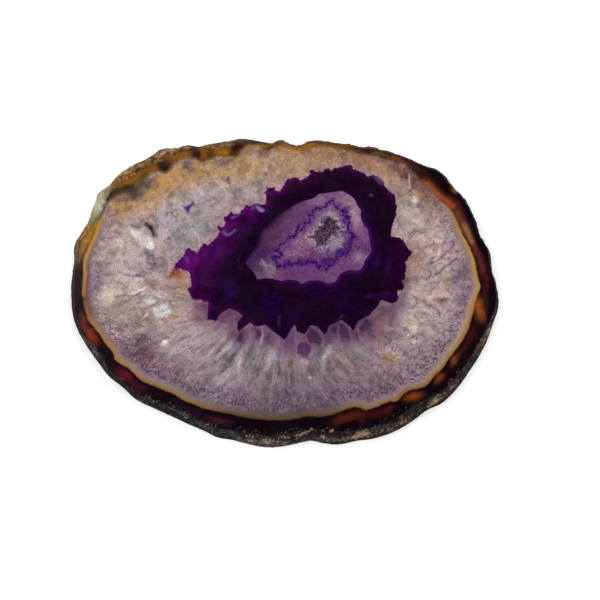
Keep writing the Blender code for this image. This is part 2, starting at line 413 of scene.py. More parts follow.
rimPaint = {
    "base": (17, 6, 14),
    "edge": 1.25,
    "wander": 0.5,
    "grainy": False,
    "spots": [
        ((58, 32, 38), -59.2, 3, 1.0, 4, 0, 0.9), ((46, 18, 26), -58.7, -6, 1.0, 3.5, 8, 0.8),
        ((116, 78, 60), -59.1, 10.6, 0.9, 2.4, -8, 0.9), ((146, 96, 52), -57.9, 12.8, 1.0, 2.0, -20, 0.9),
        ((172, 120, 44), -56.9, 16.2, 1.2, 2.2, -25, 1.0),
        ((168, 118, 38), -54.3, 21.0, 1.3, 2.8, -25, 1.0),
        ((122, 56, 26), -57.6, 16.8, 0.8, 1.4, -20, 0.7),
        ((122, 48, 29), -55.1, -12.6, 2.6, 1.2, -52, 1.0), ((96, 38, 26), -57.2, -8.6, 0.9, 2.4, 10, 0.9),
        ((88, 17, 33), -45.3, -24.2, 2.4, 1.2, -38, 1.0),
        ((60, 12, 32), -41.2, -27.6, 2.4, 0.9, -26, 0.8),
        ((44, 14, 42), -25.2, -34.5, 3.6, 1.1, -14, 0.9), ((64, 22, 36), -18.4, -36.8, 2.8, 0.9, -8, 1.0),
        ((76, 32, 20), 17.6, -36.2, 3.6, 1.1, 18, 1.0), ((64, 24, 20), 21.4, -35.6, 1.4, 1.6, 0, 0.9),
        ((62, 18, 22), 26.4, -35.0, 2.6, 0.8, 14, 0.9), ((74, 22, 20), 29.2, -33.6, 1.6, 0.8, 28, 0.9),
        ((12, 3, 9), 18.8, -37.6, 1.4, 0.8, 10, 1.0), ((124, 58, 16), 36.4, -30.2, 2.0, 0.9, 15, 1.0),
        ((108, 50, 18), 43.8, -24.8, 1.5, 0.9, 42, 1.0), ((112, 54, 24), 48.2, -19.5, 1.7, 0.8, 58, 1.0),
        ((136, 70, 26), 55.6, -5.0, 1.2, 2.9, 12, 1.0), ((60, 18, 22), 53.2, -12.2, 1.1, 2.6, -28, 0.8),
        ((62, 22, 20), 50.5, -16.4, 1.0, 2.0, -35, 0.6), ((82, 24, 34), 56.2, 8.0, 1.1, 3.8, 12, 0.9),
        ((66, 22, 32), 57.4, 3.4, 1.0, 3.0, 2, 0.8), ((60, 24, 18), 57.4, -1.0, 0.9, 2.4, 6, 0.7),
        ((76, 28, 30), 49.6, 25.6, 2.2, 1.1, -50, 0.9), ((34, 18, 14), 41.5, 34.6, 3.0, 1.3, -42, 0.9),
        ((130, 92, 40), 49.2, 30.4, 0.9, 0.6, -45, 0.9), ((58, 30, 16), 38.4, 37.0, 2.6, 0.9, -28, 0.9),
        ((112, 62, 22), 32.5, 39.9, 3.2, 0.8, -20, 0.9), ((110, 74, 30), 27.5, 41.4, 2.4, 0.6, -15, 0.9),
        ((126, 84, 22), 6, 43.9, 16, 1.1, 0, 1.0), ((114, 78, 26), 16, 43.3, 7, 0.9, -8, 1.0),
        ((150, 98, 10), 1.2, 43.9, 1.8, 0.7, -35, 0.9), ((140, 94, 12), 4.6, 43.0, 2.4, 0.5, 8, 0.9),
        ((150, 104, 20), 8.2, 44.6, 1.6, 0.6, 20, 0.8), ((70, 38, 18), 10.2, 44.6, 1.6, 0.4, 0, 0.9),
        ((62, 34, 20), 13.6, 44.2, 0.8, 0.3, 0, 0.9), ((74, 44, 20), 18.6, 43.2, 1.6, 0.5, -8, 0.9),
        ((30, 16, 18), 23.6, 41.9, 1.8, 0.8, 10, 1.0), ((58, 56, 56), 25.2, 41.0, 1.2, 0.5, 0, 0.7),
        ((60, 26, 14), -2.6, 44.3, 1.2, 0.6, 35, 0.9), ((44, 16, 12), -4.4, 43.1, 1.0, 0.6, 35, 0.9),
        ((146, 104, 62), -6.5, 43.9, 2.4, 0.9, 10, 0.9), ((66, 44, 20), -8.0, 44.6, 1.4, 0.5, 0, 0.9),
        ((132, 86, 24), -40.5, 36.0, 12, 3.4, 38, 1.0), ((128, 82, 22), -27, 41.4, 9, 2.2, 10, 1.0),
        ((146, 96, 20), -47.2, 31.9, 2.4, 0.8, 15, 0.9), ((132, 84, 12), -38.0, 36.6, 1.4, 1.2, 40, 0.9),
        ((150, 96, 8), -18.4, 42.0, 3.0, 0.8, 0, 1.0), ((146, 92, 8), -24.0, 40.6, 1.2, 0.8, 20, 0.9),
        ((172, 144, 104), -31.0, 42.6, 3.0, 0.9, 20, 0.7),
        ((160, 124, 84), -20.5, 43.4, 4.5, 0.5, 3, 0.9),
        ((50, 32, 20), -35.5, 37.8, 1.9, 1.9, 30, 1.0), ((34, 20, 10), -35.0, 37.2, 1.8, 1.7, 0, 1.0),
        ((74, 50, 20), -40.6, 34.8, 2.0, 1.0, 45, 0.7), ((66, 62, 56), -43.8, 30.0, 2.0, 1.2, 10, 1.0),
        ((72, 70, 64), -41.4, 32.9, 1.3, 1.1, 50, 1.0), ((40, 12, 14), -26.2, 41.0, 1.3, 1.5, 0, 1.0),
        ((52, 24, 14), -27.8, 42.8, 1.0, 0.8, -50, 0.9), ((66, 42, 12), -21.5, 41.2, 1.5, 1.1, 20, 0.9),
        ((48, 18, 14), -13.0, 43.7, 2.2, 1.2, 25, 1.0), ((36, 14, 14), -14.6, 43.4, 0.9, 0.8, 0, 0.9),
        ((150, 92, 8), -11.9, 44.9, 0.8, 0.6, 60, 0.9), ((60, 34, 18), -10.2, 44.8, 1.6, 0.6, 0, 0.9),
        ((56, 30, 20), -31.4, 42.0, 1.2, 0.5, 25, 0.9), ((60, 26, 20), -15.2, 41.6, 0.9, 1.6, -20, 0.7),
        ((40, 12, 12), 21.0, 43.2, 1.6, 0.6, -10, 0.9), ((46, 16, 14), 29.6, 41.4, 1.4, 0.5, -20, 0.9),
        ((46, 16, 14), -17.4, 43.8, 1.6, 0.5, 10, 0.9), ((44, 18, 12), -22.6, 43.0, 1.2, 0.5, 0, 0.9),
        ((50, 20, 14), 3.0, 44.4, 1.0, 0.4, 0, 0.8), ((48, 22, 14), 34.6, 39.8, 1.4, 0.5, -25, 0.9),
        ((36, 15, 16), -59.6, 4.0, 1.4, 4, 0, 0.8), ((20, 9, 22), -59.4, -3.4, 1.6, 5, 0, 0.9),
        ((44, 16, 12), -25.7, 40.9, 1.3, 1.7, 0, 1.0), ((48, 18, 14), -12.8, 43.4, 2.0, 0.9, 25, 1.0),
    ],
    "strokes": [
        ((52, 34, 24), 1.1, 1.0, [(-53.2, 22.2), (-51.7, 26.2), (-50.2, 29.6), (-48.4, 30.4),
                                  (-44.8, 31.2)]),
        ((150, 92, 16), 0.5, 0.8, [(-54.7, 21.4), (-53.4, 24.4)]),
        ((144, 70, 30), 0.9, 1.0, [(41.0, 32.7), (43.0, 30.6), (44.8, 28.6), (47.0, 26.9), (48.2, 25.6)]),
        ((108, 58, 44), 1.0, 0.9, [(49.6, 23.4), (51.2, 20.4), (52.6, 17.4)]),
        ((140, 92, 62), 0.6, 1.0, [(51.9, 19.8), (52.9, 17.4), (54.1, 14.4)]),
        ((98, 46, 38), 0.7, 0.8, [(54.6, 13.0), (55.8, 9.6), (56.3, 6.4)]),
        ((36, 16, 20), 0.6, 0.8, [(54.9, 10.4), (55.8, 6.0), (56.6, 2.2)]),
        ((50, 26, 16), 0.4, 0.8, [(35.6, 38.9), (38.6, 36.2), (41.4, 33.4)]),
        ((20, 6, 18), 0.5, 0.8, [(-27, -33.6), (-20, -35.2), (-13, -36.8)]),
    ],
}

bandPaint = {     # the golden band just inside the dark rim
    "base": (156, 114, 60),
    "wander": 1.0,
    "grainy": False,
    "spots": [
        ((86, 64, 46), -1, -36.5, 28, 6, 0, 1.0), ((134, 98, 58), -34, -28, 7, 4, -25, 0.8),
        ((130, 92, 56), 35, -29, 7, 4, 25, 0.8), ((180, 142, 56), 53.6, 8, 3, 12, 12, 0.8),
        ((150, 112, 72), 6, 42, 40, 4, 0, 0.9), ((126, 88, 62), 38, 33, 7, 5, -40, 0.9),
        ((126, 82, 46), -57, -4, 2, 6, 0, 0.9), ((180, 134, 60), -57, 8, 2, 8, 0, 0.7),
        ((192, 144, 54), -55.4, 15.6, 1.4, 5, -25, 0.7),
    ],
    "strokes": [((64, 50, 46), 0.7, 0.9, [(-58.2, -1.8), (-55.6, -2.0)])],
}

milkPaint = {     # the cloudy band inside the golden one
    "base": (140, 114, 110),
    "wander": 1.0,
    "grainy": False,
    "spots": [
        ((100, 68, 77), -56, 0, 4, 12, 0, 1.0), ((138, 108, 92), -52, -13, 5, 6, 30, 0.9),
        ((140, 120, 116), -38, -24, 12, 5, -35, 0.9), ((124, 108, 108), -22, -32, 9, 3, -12, 0.9),
        ((90, 76, 70), 2, -34.5, 22, 4, 0, 1.0), ((140, 118, 116), 28, -31, 9, 4, 18, 0.8),
        ((164, 138, 122), 50, -10, 5, 16, -30, 0.9),
    ],
}

quartzPaint = {
    "base": (166, 146, 145),
    "wander": 0.9,
    "grainy": True,
    "spots": [
        # the lower side darker, partly painted shade where the light falls off and partly the dyed grain
        # along the rim
        ((110, 93, 100), 0, -34, 36, 8, 0, 1.0), ((120, 104, 108), 4, -25, 34, 8, 0, 0.9),
        ((136, 118, 122), 14, -16, 30, 7, 8, 0.7), ((128, 102, 106), -45, -17, 7, 5, -40, 0.9),
        ((136, 112, 118), -36, -21, 8, 5, -35, 0.8), ((132, 111, 119), -26, -27, 9, 4, -20, 0.8),
        ((146, 120, 120), -52, -8, 4, 6, 10, 0.8), ((136, 114, 120), 38, -22, 9, 6, 35, 0.8),
        ((144, 124, 130), 44, -14, 6, 6, 40, 0.6), ((128, 103, 120), 50.5, 3, 3.0, 8, 4, 0.8),
        ((148, 122, 122), 50, 12, 3, 6, 20, 0.6), ((150, 134, 140), -22, -18, 9, 5, -30, 0.5),
        # honey and rose stains under the top edge
        ((168, 138, 106), -46.5, 23.0, 6, 3.0, 25, 0.7), ((170, 142, 110), -36, 27.6, 9, 3.4, 30, 0.6),
        ((166, 126, 72), -46.5, 26.2, 5, 2.4, 25, 1.0), ((170, 133, 82), -37, 31, 8, 3.6, 32, 1.0),
        ((166, 129, 82), -25, 36, 9, 3.6, 12, 1.0), ((166, 134, 92), -13, 37.5, 8, 4.5, 0, 0.9),
        ((166, 135, 100), 0, 38, 12, 4.5, 0, 0.9), ((158, 124, 92), 12, 40.2, 9, 2.8, 0, 0.9),
        ((140, 98, 46), -4, 42.8, 26, 2.0, 0, 0.9), ((136, 96, 62), 22, 41.2, 10, 1.8, -8, 0.8),
        ((152, 106, 80), 24, 38.2, 5, 2.2, -8, 1.0), ((152, 118, 100), 31, 36.2, 4.5, 2.6, -20, 0.9),
        ((176, 142, 110), 32, 32.2, 4, 3, -40, 0.8), ((172, 148, 130), 33.4, 27, 2.6, 4, -20, 0.6),
        ((104, 74, 66), 34.4, 38.0, 5.4, 2.4, -28, 1.0), ((98, 60, 52), 37.8, 32.8, 5.0, 3.2, -48, 1.0),
        ((120, 80, 54), 41.6, 29.6, 3.6, 1.8, -48, 1.0), ((160, 120, 80), 39.6, 27.2, 3.0, 1.8, -45, 0.8),
        ((152, 116, 84), 43.4, 25.6, 3, 1.6, -50, 0.8), ((130, 84, 78), 33.6, 36.0, 3.0, 0.9, -28, 0.7),
        ((180, 130, 66), -38.5, 32.4, 1.2, 1.6, 0, 0.5), ((182, 130, 68), -45.0, 27.4, 2.4, 0.8, 25, 0.6),
        ((180, 136, 78), -11, 39.4, 1.6, 2.4, 0, 0.5), ((178, 118, 58), 24, 38.4, 0.9, 1.2, 10, 0.8),
        ((160, 116, 62), -32, 35.5, 7, 2.0, 28, 0.7), ((150, 108, 66), -17, 40.6, 7, 1.4, 4, 0.6),
        ((150, 112, 76), 2, 42.0, 9, 1.2, 0, 0.6), ((162, 112, 56), -47.0, 27.6, 3.0, 1.0, 18, 0.7),
        ((172, 114, 56), 26.8, 38.6, 0.8, 0.7, -30, 0.8), ((172, 116, 62), 28.4, 36.6, 0.9, 0.6, 40, 0.6),
        ((128, 96, 76), 21.0, 39.4, 3.5, 0.9, -10, 0.7), ((130, 100, 78), 15, 41.6, 5, 0.7, -5, 0.6),
        ((70, 64, 58), -43.0, 28.8, 2.4, 1.5, 20, 1.0), ((82, 74, 66), -40.0, 31.8, 1.5, 1.5, 40, 1.0),
        ((96, 78, 54), -46.6, 27.8, 2.4, 0.8, 15, 0.8),
        ((92, 76, 70), -28.6, 37.8, 1.7, 1.6, -20, 1.0), ((100, 78, 88), -28.2, 36.2, 1.0, 1.1, 0, 0.6),
        ((102, 82, 66), -17.7, 39.2, 2.6, 1.1, 12, 0.9),
        ((134, 104, 90), -12.2, 41.4, 1.8, 1.4, 20, 0.7), ((98, 84, 84), -5.2, 41.6, 1.0, 0.9, 0, 0.7),
        ((190, 176, 166), -9.0, 41.4, 1.0, 1.4, 0, 0.5), ((184, 170, 158), -3.2, 41.6, 0.9, 1.8, 0, 0.5),
        # pale milky crystals of the left side
        ((148, 128, 128), -45, 15, 10, 6, 10, 0.6), ((124, 98, 106), -54.4, 0, 1.5, 12, 0, 0.8),
        ((180, 164, 154), -46, 13, 5, 3, -30, 0.6),
        ((184, 168, 158), -44, 3.5, 4.5, 1.8, 5, 0.6),
        ((190, 176, 162), -48, -1.4, 6, 1.8, 8, 0.8), ((182, 165, 152), -50, -5.5, 4, 2.4, -20, 0.7),
        ((176, 164, 156), -49, -9, 4, 3.0, -30, 0.6), ((124, 104, 102), -41, -8.6, 3.4, 2.8, 20, 0.6),
        ((106, 82, 84), -41, -16.5, 3, 3.6, -40, 0.8), ((152, 138, 142), -14, -25, 4, 2.6, 0, 0.7),
        ((150, 134, 136), -22.6, -29, 4.4, 2.6, -16, 0.8),
        ((126, 108, 113), 2.6, -17.5, 6, 4, 0, 0.6), ((112, 94, 98), 20, -21.4, 5, 4.6, 0, 0.7),
        ((108, 88, 98), 12, -13.4, 5, 3.4, 0, 0.8), ((120, 98, 102), 28.6, -12, 3.4, 3.4, 0, 0.8),
        ((108, 94, 99), 3, -26, 8, 4, 0, 0.6),
        ((142, 116, 122), -24.6, -0.8, 2.6, 3.0, 0, 0.7), ((174, 156, 148), -52, 10, 3, 6, 0, 0.5),
        ((160, 142, 132), -34, -4, 6, 6, 30, 0.6), ((190, 188, 184), -38.0, -2.0, 2.6, 1.1, 35, 0.9),
        ((186, 186, 180), -35.0, -5.4, 2.4, 1.5, 50, 0.9), ((148, 130, 122), -42, -9, 4, 3.4, 60, 0.6),
        ((206, 196, 186), -39.4, 14.6, 1.3, 1.4, -15, 1.0),
        ((198, 184, 174), -42.4, 17.8, 2.4, 1.4, -10, 0.8),
        ((190, 178, 170), -46.4, 15.2, 1.8, 1.2, 20, 0.6),
        ((186, 176, 168), -47.4, 11.0, 1.4, 1.0, 0, 0.5),
        ((114, 98, 108), -38.4, 9.6, 0.9, 2.6, 6, 0.8), ((122, 104, 116), -36.6, 7.6, 1.2, 2.0, -25, 0.6),
        ((138, 118, 114), -46.8, -3.4, 3.4, 0.8, 20, 0.6),
        ((112, 92, 92), -40.6, -7.2, 1.0, 2.6, -10, 0.7),
        ((126, 110, 104), -38.2, -8.2, 1.6, 2.2, 40, 0.7),
        ((150, 118, 92), -31.4, -7.0, 0.8, 1.6, -40, 0.7),
        ((146, 118, 98), -33.8, -12.0, 0.9, 2.0, -20, 0.6),
        ((150, 124, 100), -29.2, -2.4, 1.2, 1.8, 20, 0.4),
        ((150, 150, 152), -31, 17, 3, 5, 15, 0.6), ((152, 156, 154), -25, 20, 4, 4, 0, 0.6),
        ((136, 134, 138), -31.4, 18.6, 1.0, 0.8, 0, 0.6), ((148, 146, 150), -28, 27, 6, 3, 20, 0.4),
        ((172, 164, 168), -34, 22, 3, 4, 0, 0.5), ((176, 172, 178), -25.2, 28.0, 1.2, 2.6, -20, 0.6),
        ((206, 206, 200), -33.9, -14.3, 1.0, 0.6, 0, 1.0),
        ((176, 172, 178), -31.5, -17, 2.2, 1.0, 40, 0.7),
        ((196, 188, 184), -36.9, -19.6, 0.5, 1.1, -25, 0.8),
        ((196, 192, 188), -22.4, -27.4, 0.7, 0.6, 0, 0.9),
        ((92, 78, 104), -38.9, -15.2, 1.5, 1.0, 30, 0.7),
        ((106, 84, 100), -40.6, -13.4, 1.4, 0.8, 30, 0.6),
        ((116, 84, 90), -38.5, -20, 4, 3, -60, 0.7), ((118, 88, 94), -41, -20, 1.6, 3.0, 30, 0.5),
        # right side: creamier, with tan hollows
        ((168, 150, 134), 42, 9, 7, 12, 10, 0.5), ((86, 52, 74), 34.4, 3.0, 1.5, 3.8, 0, 0.8),
        ((152, 126, 114), 37.2, 9.2, 2.8, 5, 20, 0.9), ((182, 166, 156), 40, 0, 4, 3.5, 0, 0.8),
        ((182, 166, 156), 37, -9, 6, 5, 20, 0.8), ((184, 164, 158), 45, 14, 4, 5, 20, 0.7),
        ((134, 112, 120), 27, -11, 6, 4, 25, 0.8), ((178, 160, 154), 38, 19, 4, 4, 0, 0.5),
        ((158, 128, 100), 46.1, 3.0, 1.3, 1.0, 60, 0.7), ((156, 130, 106), 43.3, 13.0, 1.4, 1.1, 25, 0.7),
        ((130, 98, 80), 46.4, 10.9, 1.2, 0.5, 35, 0.7), ((160, 132, 112), 46.5, 20.4, 1.0, 0.5, 40, 0.5),
        ((172, 142, 112), 37.8, 12.3, 1.6, 0.8, 15, 0.7), ((160, 130, 106), 36.3, 8.4, 2.0, 1.8, 40, 0.6),
        ((140, 116, 112), 37.8, 4.0, 2.0, 3.0, 30, 0.4), ((84, 60, 76), 45.6, -2.5, 1.1, 0.55, 10, 1.0),
        ((150, 118, 98), 43.6, -2.0, 1.4, 0.4, 12, 0.7), ((162, 134, 112), 46.0, -4.0, 0.8, 0.5, 30, 0.6),
        ((206, 198, 186), 37.8, -10.6, 1.2, 0.6, -10, 0.9),
        ((200, 192, 184), 44.6, 11.3, 0.5, 0.5, 0, 0.8),
        ((150, 122, 84), 31, -19.6, 2.0, 1.2, 0, 0.8), ((140, 112, 80), 28.6, -18.6, 1.0, 0.6, 0, 0.7),
        ((112, 92, 128), 49.2, 4.6, 1.0, 1.6, -20, 0.8), ((190, 170, 156), 33.4, 17.2, 1.2, 1.6, 0, 0.7),
        ((196, 160, 124), 32.6, 15.2, 0.9, 0.6, 0, 0.6), ((206, 200, 196), 37.9, 27.2, 0.5, 0.9, 10, 1.0),
        ((116, 96, 100), 38.4, 25.7, 0.6, 0.4, 0, 0.9), ((128, 112, 120), 32.2, 30.4, 2.2, 2.4, 0, 0.5),
        ((176, 158, 156), 36.5, 24, 2.4, 2.0, 0, 0.5), ((130, 114, 126), 40.5, 24.2, 1.8, 0.8, 20, 0.5),
        # amber iron stains against the purple
        ((162, 100, 60), -30.4, 4.8, 2.4, 1.6, 30, 1.0), ((164, 106, 34), -33.2, 4.8, 1.7, 0.8, 45, 1.0),
        ((98, 28, 14), -31.2, 6.4, 1.2, 0.8, 40, 1.0), ((182, 148, 116), -29.2, 1.6, 1.8, 2.0, 0, 0.8),
        ((176, 130, 86), -28.0, 1.0, 0.9, 0.6, 0, 0.6), ((160, 136, 120), -26.5, -3.6, 1.2, 1.4, 0, 0.5),
        ((172, 118, 56), -24.2, -6.8, 1.1, 0.6, -35, 0.9),
        ((150, 66, 34), -21.6, -8.4, 0.7, 0.3, -10, 0.8),
        ((146, 94, 58), 27.2, -11.4, 0.7, 1.5, -10, 0.8), ((170, 104, 44), 19.6, -12.3, 0.6, 0.4, 0, 0.8),
        ((158, 112, 70), 25.6, -8.6, 0.5, 1.2, 10, 0.6), ((160, 90, 44), 31.0, -3.9, 0.9, 0.3, 0, 0.8),
        ((158, 116, 84), -10.6, -12.4, 0.6, 0.3, 0, 0.7),
        ((168, 126, 80), -15.4, -11.7, 0.5, 0.8, 0, 0.6),
        ((150, 118, 84), 14.4, -14.6, 1.6, 0.5, 0, 0.5), ((140, 110, 78), 11.6, -14.8, 0.6, 0.4, 0, 0.6),
        # mauve dye in the crystals that stand under the purple
        ((116, 84, 102), -23.4, -6.0, 3.4, 3.0, 0, 0.8), ((120, 90, 114), -16, -9.4, 3.4, 2.2, 0, 0.7),
        ((116, 86, 112), -12.6, -13.4, 2.2, 2.6, 0, 0.8), ((118, 88, 114), -7, -13.0, 3.6, 3.0, 0, 0.8),
        ((130, 106, 128), -2, -14.4, 3.0, 2.8, -40, 0.8), ((122, 90, 130), 1.6, -13.6, 2.0, 3.4, 0, 0.8),
        ((114, 86, 112), 8.4, -13.4, 3.0, 3.0, -12, 0.8),
        ((116, 90, 116), 15.6, -12.4, 3.4, 3.0, -12, 0.8),
        ((100, 74, 96), 22.8, -10.6, 3.0, 2.6, 30, 0.9), ((108, 80, 98), 29.2, -6.8, 2.6, 2.4, 30, 0.9),
        ((136, 104, 128), 33.6, -3.0, 1.4, 1.6, 0, 0.5),
        ((116, 84, 108), 24.4, -12.4, 2.0, 2.6, -10, 0.7),
        # dark cores of those crystals
        ((84, 50, 72), -16.1, -6.2, 1.1, 1.2, 20, 0.9), ((90, 58, 84), -23.4, -4.8, 2.0, 0.9, -20, 0.9),
        ((82, 50, 78), -12.6, -13.4, 0.9, 2.0, -8, 0.8), ((98, 68, 92), -14.8, -13.6, 0.8, 1.4, 0, 0.6),
        ((80, 46, 68), -7.7, -12.2, 0.9, 2.0, 8, 0.9), ((90, 60, 88), -4.9, -13.6, 1.2, 2.6, -14, 0.8),
        ((80, 50, 76), 8.2, -12.8, 1.3, 2.4, 22, 0.8), ((84, 54, 80), 17.0, -12.6, 1.1, 2.2, 8, 0.8),
        ((78, 50, 74), 24.7, -12.0, 0.8, 1.9, 10, 0.8), ((84, 56, 82), 21.0, -12.6, 0.7, 1.4, 0, 0.6),
        # grey-green windows into clear quartz, and milky ones between
        ((104, 106, 106), -8.8, -18.2, 1.3, 2.6, -8, 0.8),
        ((132, 136, 134), -14.0, -17.8, 1.2, 2.0, 0, 0.7),
        ((92, 95, 95), 9.7, -17.6, 0.8, 2.4, 4, 0.9), ((92, 84, 56), 1.8, -20.6, 0.9, 1.2, 20, 0.9),
        ((86, 86, 72), 12.0, -22.2, 1.1, 0.8, 10, 0.7), ((70, 74, 70), 13.5, -22.0, 0.6, 0.5, 0, 0.8),
        ((122, 128, 122), 21.6, -17.0, 1.0, 2.2, -5, 0.7),
        ((106, 104, 100), -5.4, -26.4, 2.0, 1.0, 0, 0.6),
        ((94, 96, 94), -8.2, -22.6, 0.9, 1.6, 0, 0.6), ((118, 122, 120), -25.6, 23.4, 1.8, 1.2, 20, 0.4),
        ((96, 96, 96), -17.2, -14.6, 0.5, 2.6, -40, 0.8),
        ((104, 102, 104), -17.0, -18.6, 0.5, 2.0, -45, 0.7),
        ((178, 172, 178), -16.6, -16.4, 0.6, 2.8, -42, 0.7),
        ((174, 168, 174), -12.8, -20.6, 0.7, 2.6, -10, 0.6),
        ((192, 186, 192), 11.5, -18.6, 0.4, 1.8, -8, 0.9),
        ((180, 170, 178), 12.7, -17.4, 0.7, 1.4, 0, 0.7),
        ((166, 158, 168), -3.6, -18, 1.2, 2.4, 25, 0.5),
        ((168, 160, 168), -17.8, -25.0, 2.2, 1.4, 20, 0.5),
        ((160, 152, 158), -2.6, -24, 0.9, 2.2, 0, 0.5), ((150, 120, 96), 17.4, -20.4, 0.7, 2.0, 0, 0.5),
        ((186, 182, 184), 7.0, -24.6, 0.5, 0.4, 0, 0.8), ((190, 182, 176), 6.6, -20.8, 0.4, 0.4, 0, 0.7),
        ((104, 86, 104), 7.6, -22.8, 1.0, 1.0, 0, 0.6), ((132, 132, 132), -13.5, 29.6, 2.2, 1.2, 0, 0.4),
    ],
    "facets": [
        # crystals that stand clear under the purple, back to front
        ((122, 90, 116), 0.9, [(-19.3, -8.8), (-18.2, -6.3), (-15.8, -4.6), (-12, -6.7), (-13.4, -8.8),
                               (-15.6, -9.8)]),
        ((138, 110, 136), 0.6, [(-15.4, -9.6), (-13.6, -8.6), (-12.1, -6.9), (-14, -7.4)]),
        ((122, 88, 106), 0.9, [(-26.2, -3.2), (-21.9, -2.7), (-21.9, -7.6), (-24.2, -6.0),
                               (-25.8, -4.9)]),
        ((136, 112, 132), 0.7, [(-5.2, -9.6), (-2.8, -11.8), (-0.4, -13.8), (-0.6, -16.6),
                                (-3.4, -14.6)]),
        ((124, 92, 134), 0.8, [(0.2, -14), (1.6, -11.4), (2.9, -9.3), (3.4, -11.6), (3.2, -14.4),
                               (1.2, -15.6)]),
        ((86, 46, 86), 1.0, [(3.7, -15.4), (4.6, -14.5), (6.2, -14.5), (7.5, -15.6), (7.6, -17.2),
                             (6.6, -18.8),
                          (5.2, -19.2), (3.9, -17.6)]),
        ((84, 54, 80), 0.85, [(5.8, -12.4), (6.6, -10.8), (7.6, -9.6), (9.6, -10.6), (10.8, -13),
                              (10.2, -15.4), (7, -14.2)]),
        ((84, 56, 84), 0.85, [(12.8, -10.4), (14.8, -9.2), (16.1, -8), (18.6, -10.8), (19, -13.4),
                              (15, -13.4)]),
        ((86, 58, 84), 0.8, [(21, -9.2), (23.4, -7.4), (25.2, -9.4), (23.6, -11.4), (21.4, -11.2)]),
        ((64, 38, 62), 0.7, [(-24.2, 26.3), (-23.7, 26.3), (-23.9, 25.6)]),
        # pale plates of the left side
        ((206, 195, 184), 0.9, [(-44.5, 18.1), (-41.2, 17.8), (-38.2, 15.4), (-37.8, 13), (-39.8, 12.8),
                                (-42.8, 15.2)]),
        ((222, 214, 202), 0.9, [(-39.4, 15.8), (-38.2, 15.2), (-37.8, 13), (-38.8, 12.8)]),
        ((182, 168, 164), 0.6, [(-47.6, 10.2), (-43.4, 12.0), (-40.2, 9.6), (-39.9, 6.6), (-43, 5.2),
                                (-46.4, 6.2)]),
        ((118, 96, 108), 0.9, [(-39.6, 12), (-37.4, 10.8), (-37, 8), (-38.2, 6.4), (-39.6, 8.4)]),
        ((168, 150, 148), 0.6, [(-52, 2.8), (-46, 3.8), (-41.2, 3.2), (-40.3, 1), (-44.4, -0.6),
                                (-49.8, -0.2)]),
        ((200, 198, 194), 0.9, [(-40.1, -1.2), (-38, -0.6), (-36.6, -2), (-37.4, -4), (-39.6, -3.2)]),
        ((198, 198, 194), 0.9, [(-37.6, -4.4), (-34.6, -3.4), (-32.6, -5.2), (-33.4, -7.4),
                                (-36.8, -6.8)]),
        ((56, 30, 104), 0.95, [(-29.9, 25.5), (-28.6, 25.3), (-27.0, 25.9), (-27.5, 24.4),
                               (-27.8, 22.8), (-28.6, 23.9)]),
        ((94, 70, 140), 0.8, [(-34.1, 15.6), (-33.5, 16.6), (-32.7, 16.0), (-33.2, 15.4)]),
        ((212, 212, 206), 0.9, [(-34.8, -14.6), (-34.2, -13.8), (-33.2, -13.9), (-33.0, -14.6),
                                (-33.9, -14.9)]),
    ],
    "strokes": [
        ((218, 210, 200), 0.3, 1.0, [(-44.4, -0.8), (-42.4, 0.1), (-40.3, 1.2)]),
        ((210, 204, 198), 0.16, 0.9, [(-40.9, -8.2), (-39.8, -7.0), (-39.0, -6.2)]),
        ((96, 78, 92), 0.26, 0.9, [(-40.2, 12.6), (-39.4, 10.6), (-39.9, 8.8)]),
        ((112, 94, 100), 0.26, 0.9, [(-48.5, -1.6), (-46.2, -1.0), (-43.2, -1.1), (-41.0, 0.2)]),
        ((112, 92, 92), 0.16, 0.7, [(-42.6, -4.0), (-40.6, -5.0), (-38.4, -4.2), (-36.0, -2.6)]),
        ((90, 66, 88), 0.18, 0.8, [(-42.4, -16.8), (-41.2, -19.2), (-40.2, -21.6), (-40.2, -23.4),
                                   (-40.0, -25.2)]),
        ((18, 6, 24), 0.44, 1.0, [(-40.1, 20.4), (-39.3, 19.5), (-38.5, 18.9)]),
        ((10, 2, 16), 0.64, 1.0, [(-38.9, 19.3), (-38.6, 19.0), (-38.1, 17.9), (-37.8, 16.8)]),
        ((58, 32, 98), 0.34, 1.0, [(-27.8, 24.8), (-26.6, 26.3)]),
        ((94, 72, 112), 0.20, 0.7, [(-55.0, 3.6), (-52.5, 4.8), (-50, 5.2), (-48, 5.0)]),
        ((92, 68, 124), 0.26, 0.9, [(-46.2, 5.2), (-44.4, 4.8), (-43.0, 4.6), (-41.4, 4.9)]),
        ((104, 80, 104), 0.18, 0.7, [(-50.4, 17.8), (-48.6, 17.6), (-47.4, 17.2)]),
        ((104, 80, 104), 0.18, 0.7, [(-44.4, 20.2), (-43.0, 19.2), (-41.6, 19.2)]),
        ((90, 60, 86), 0.18, 0.8, [(-18.2, 34.2), (-17.7, 33.4)]),
        ((90, 60, 86), 0.18, 0.8, [(-16.8, 33.8), (-17.0, 33.0)]),
        ((90, 60, 86), 0.20, 0.9, [(-16.4, 34.4), (-16.4, 32.4)]),
        ((98, 70, 64), 0.18, 0.8, [(-33.9, 23.3), (-32.6, 23.6), (-31.6, 24.4)]),
        ((104, 62, 46), 0.16, 0.8, [(-31.7, 1.1), (-30.6, 1.4), (-29.8, 1.2)]),
        ((110, 70, 40), 0.20, 0.8, [(-34.2, 4.1), (-33.0, 4.5), (-31.8, 5.6)]),
        ((110, 84, 78), 0.16, 0.8, [(-32.8, -2.9), (-32.4, -3.7), (-31.6, -4.4)]),
        ((82, 62, 104), 0.18, 0.9, [(43.3, 5.4), (44.5, 5.8), (45.5, 6.9), (46.4, 7.7), (48.5, 8.8),
                                    (49.6, 9.7)]),
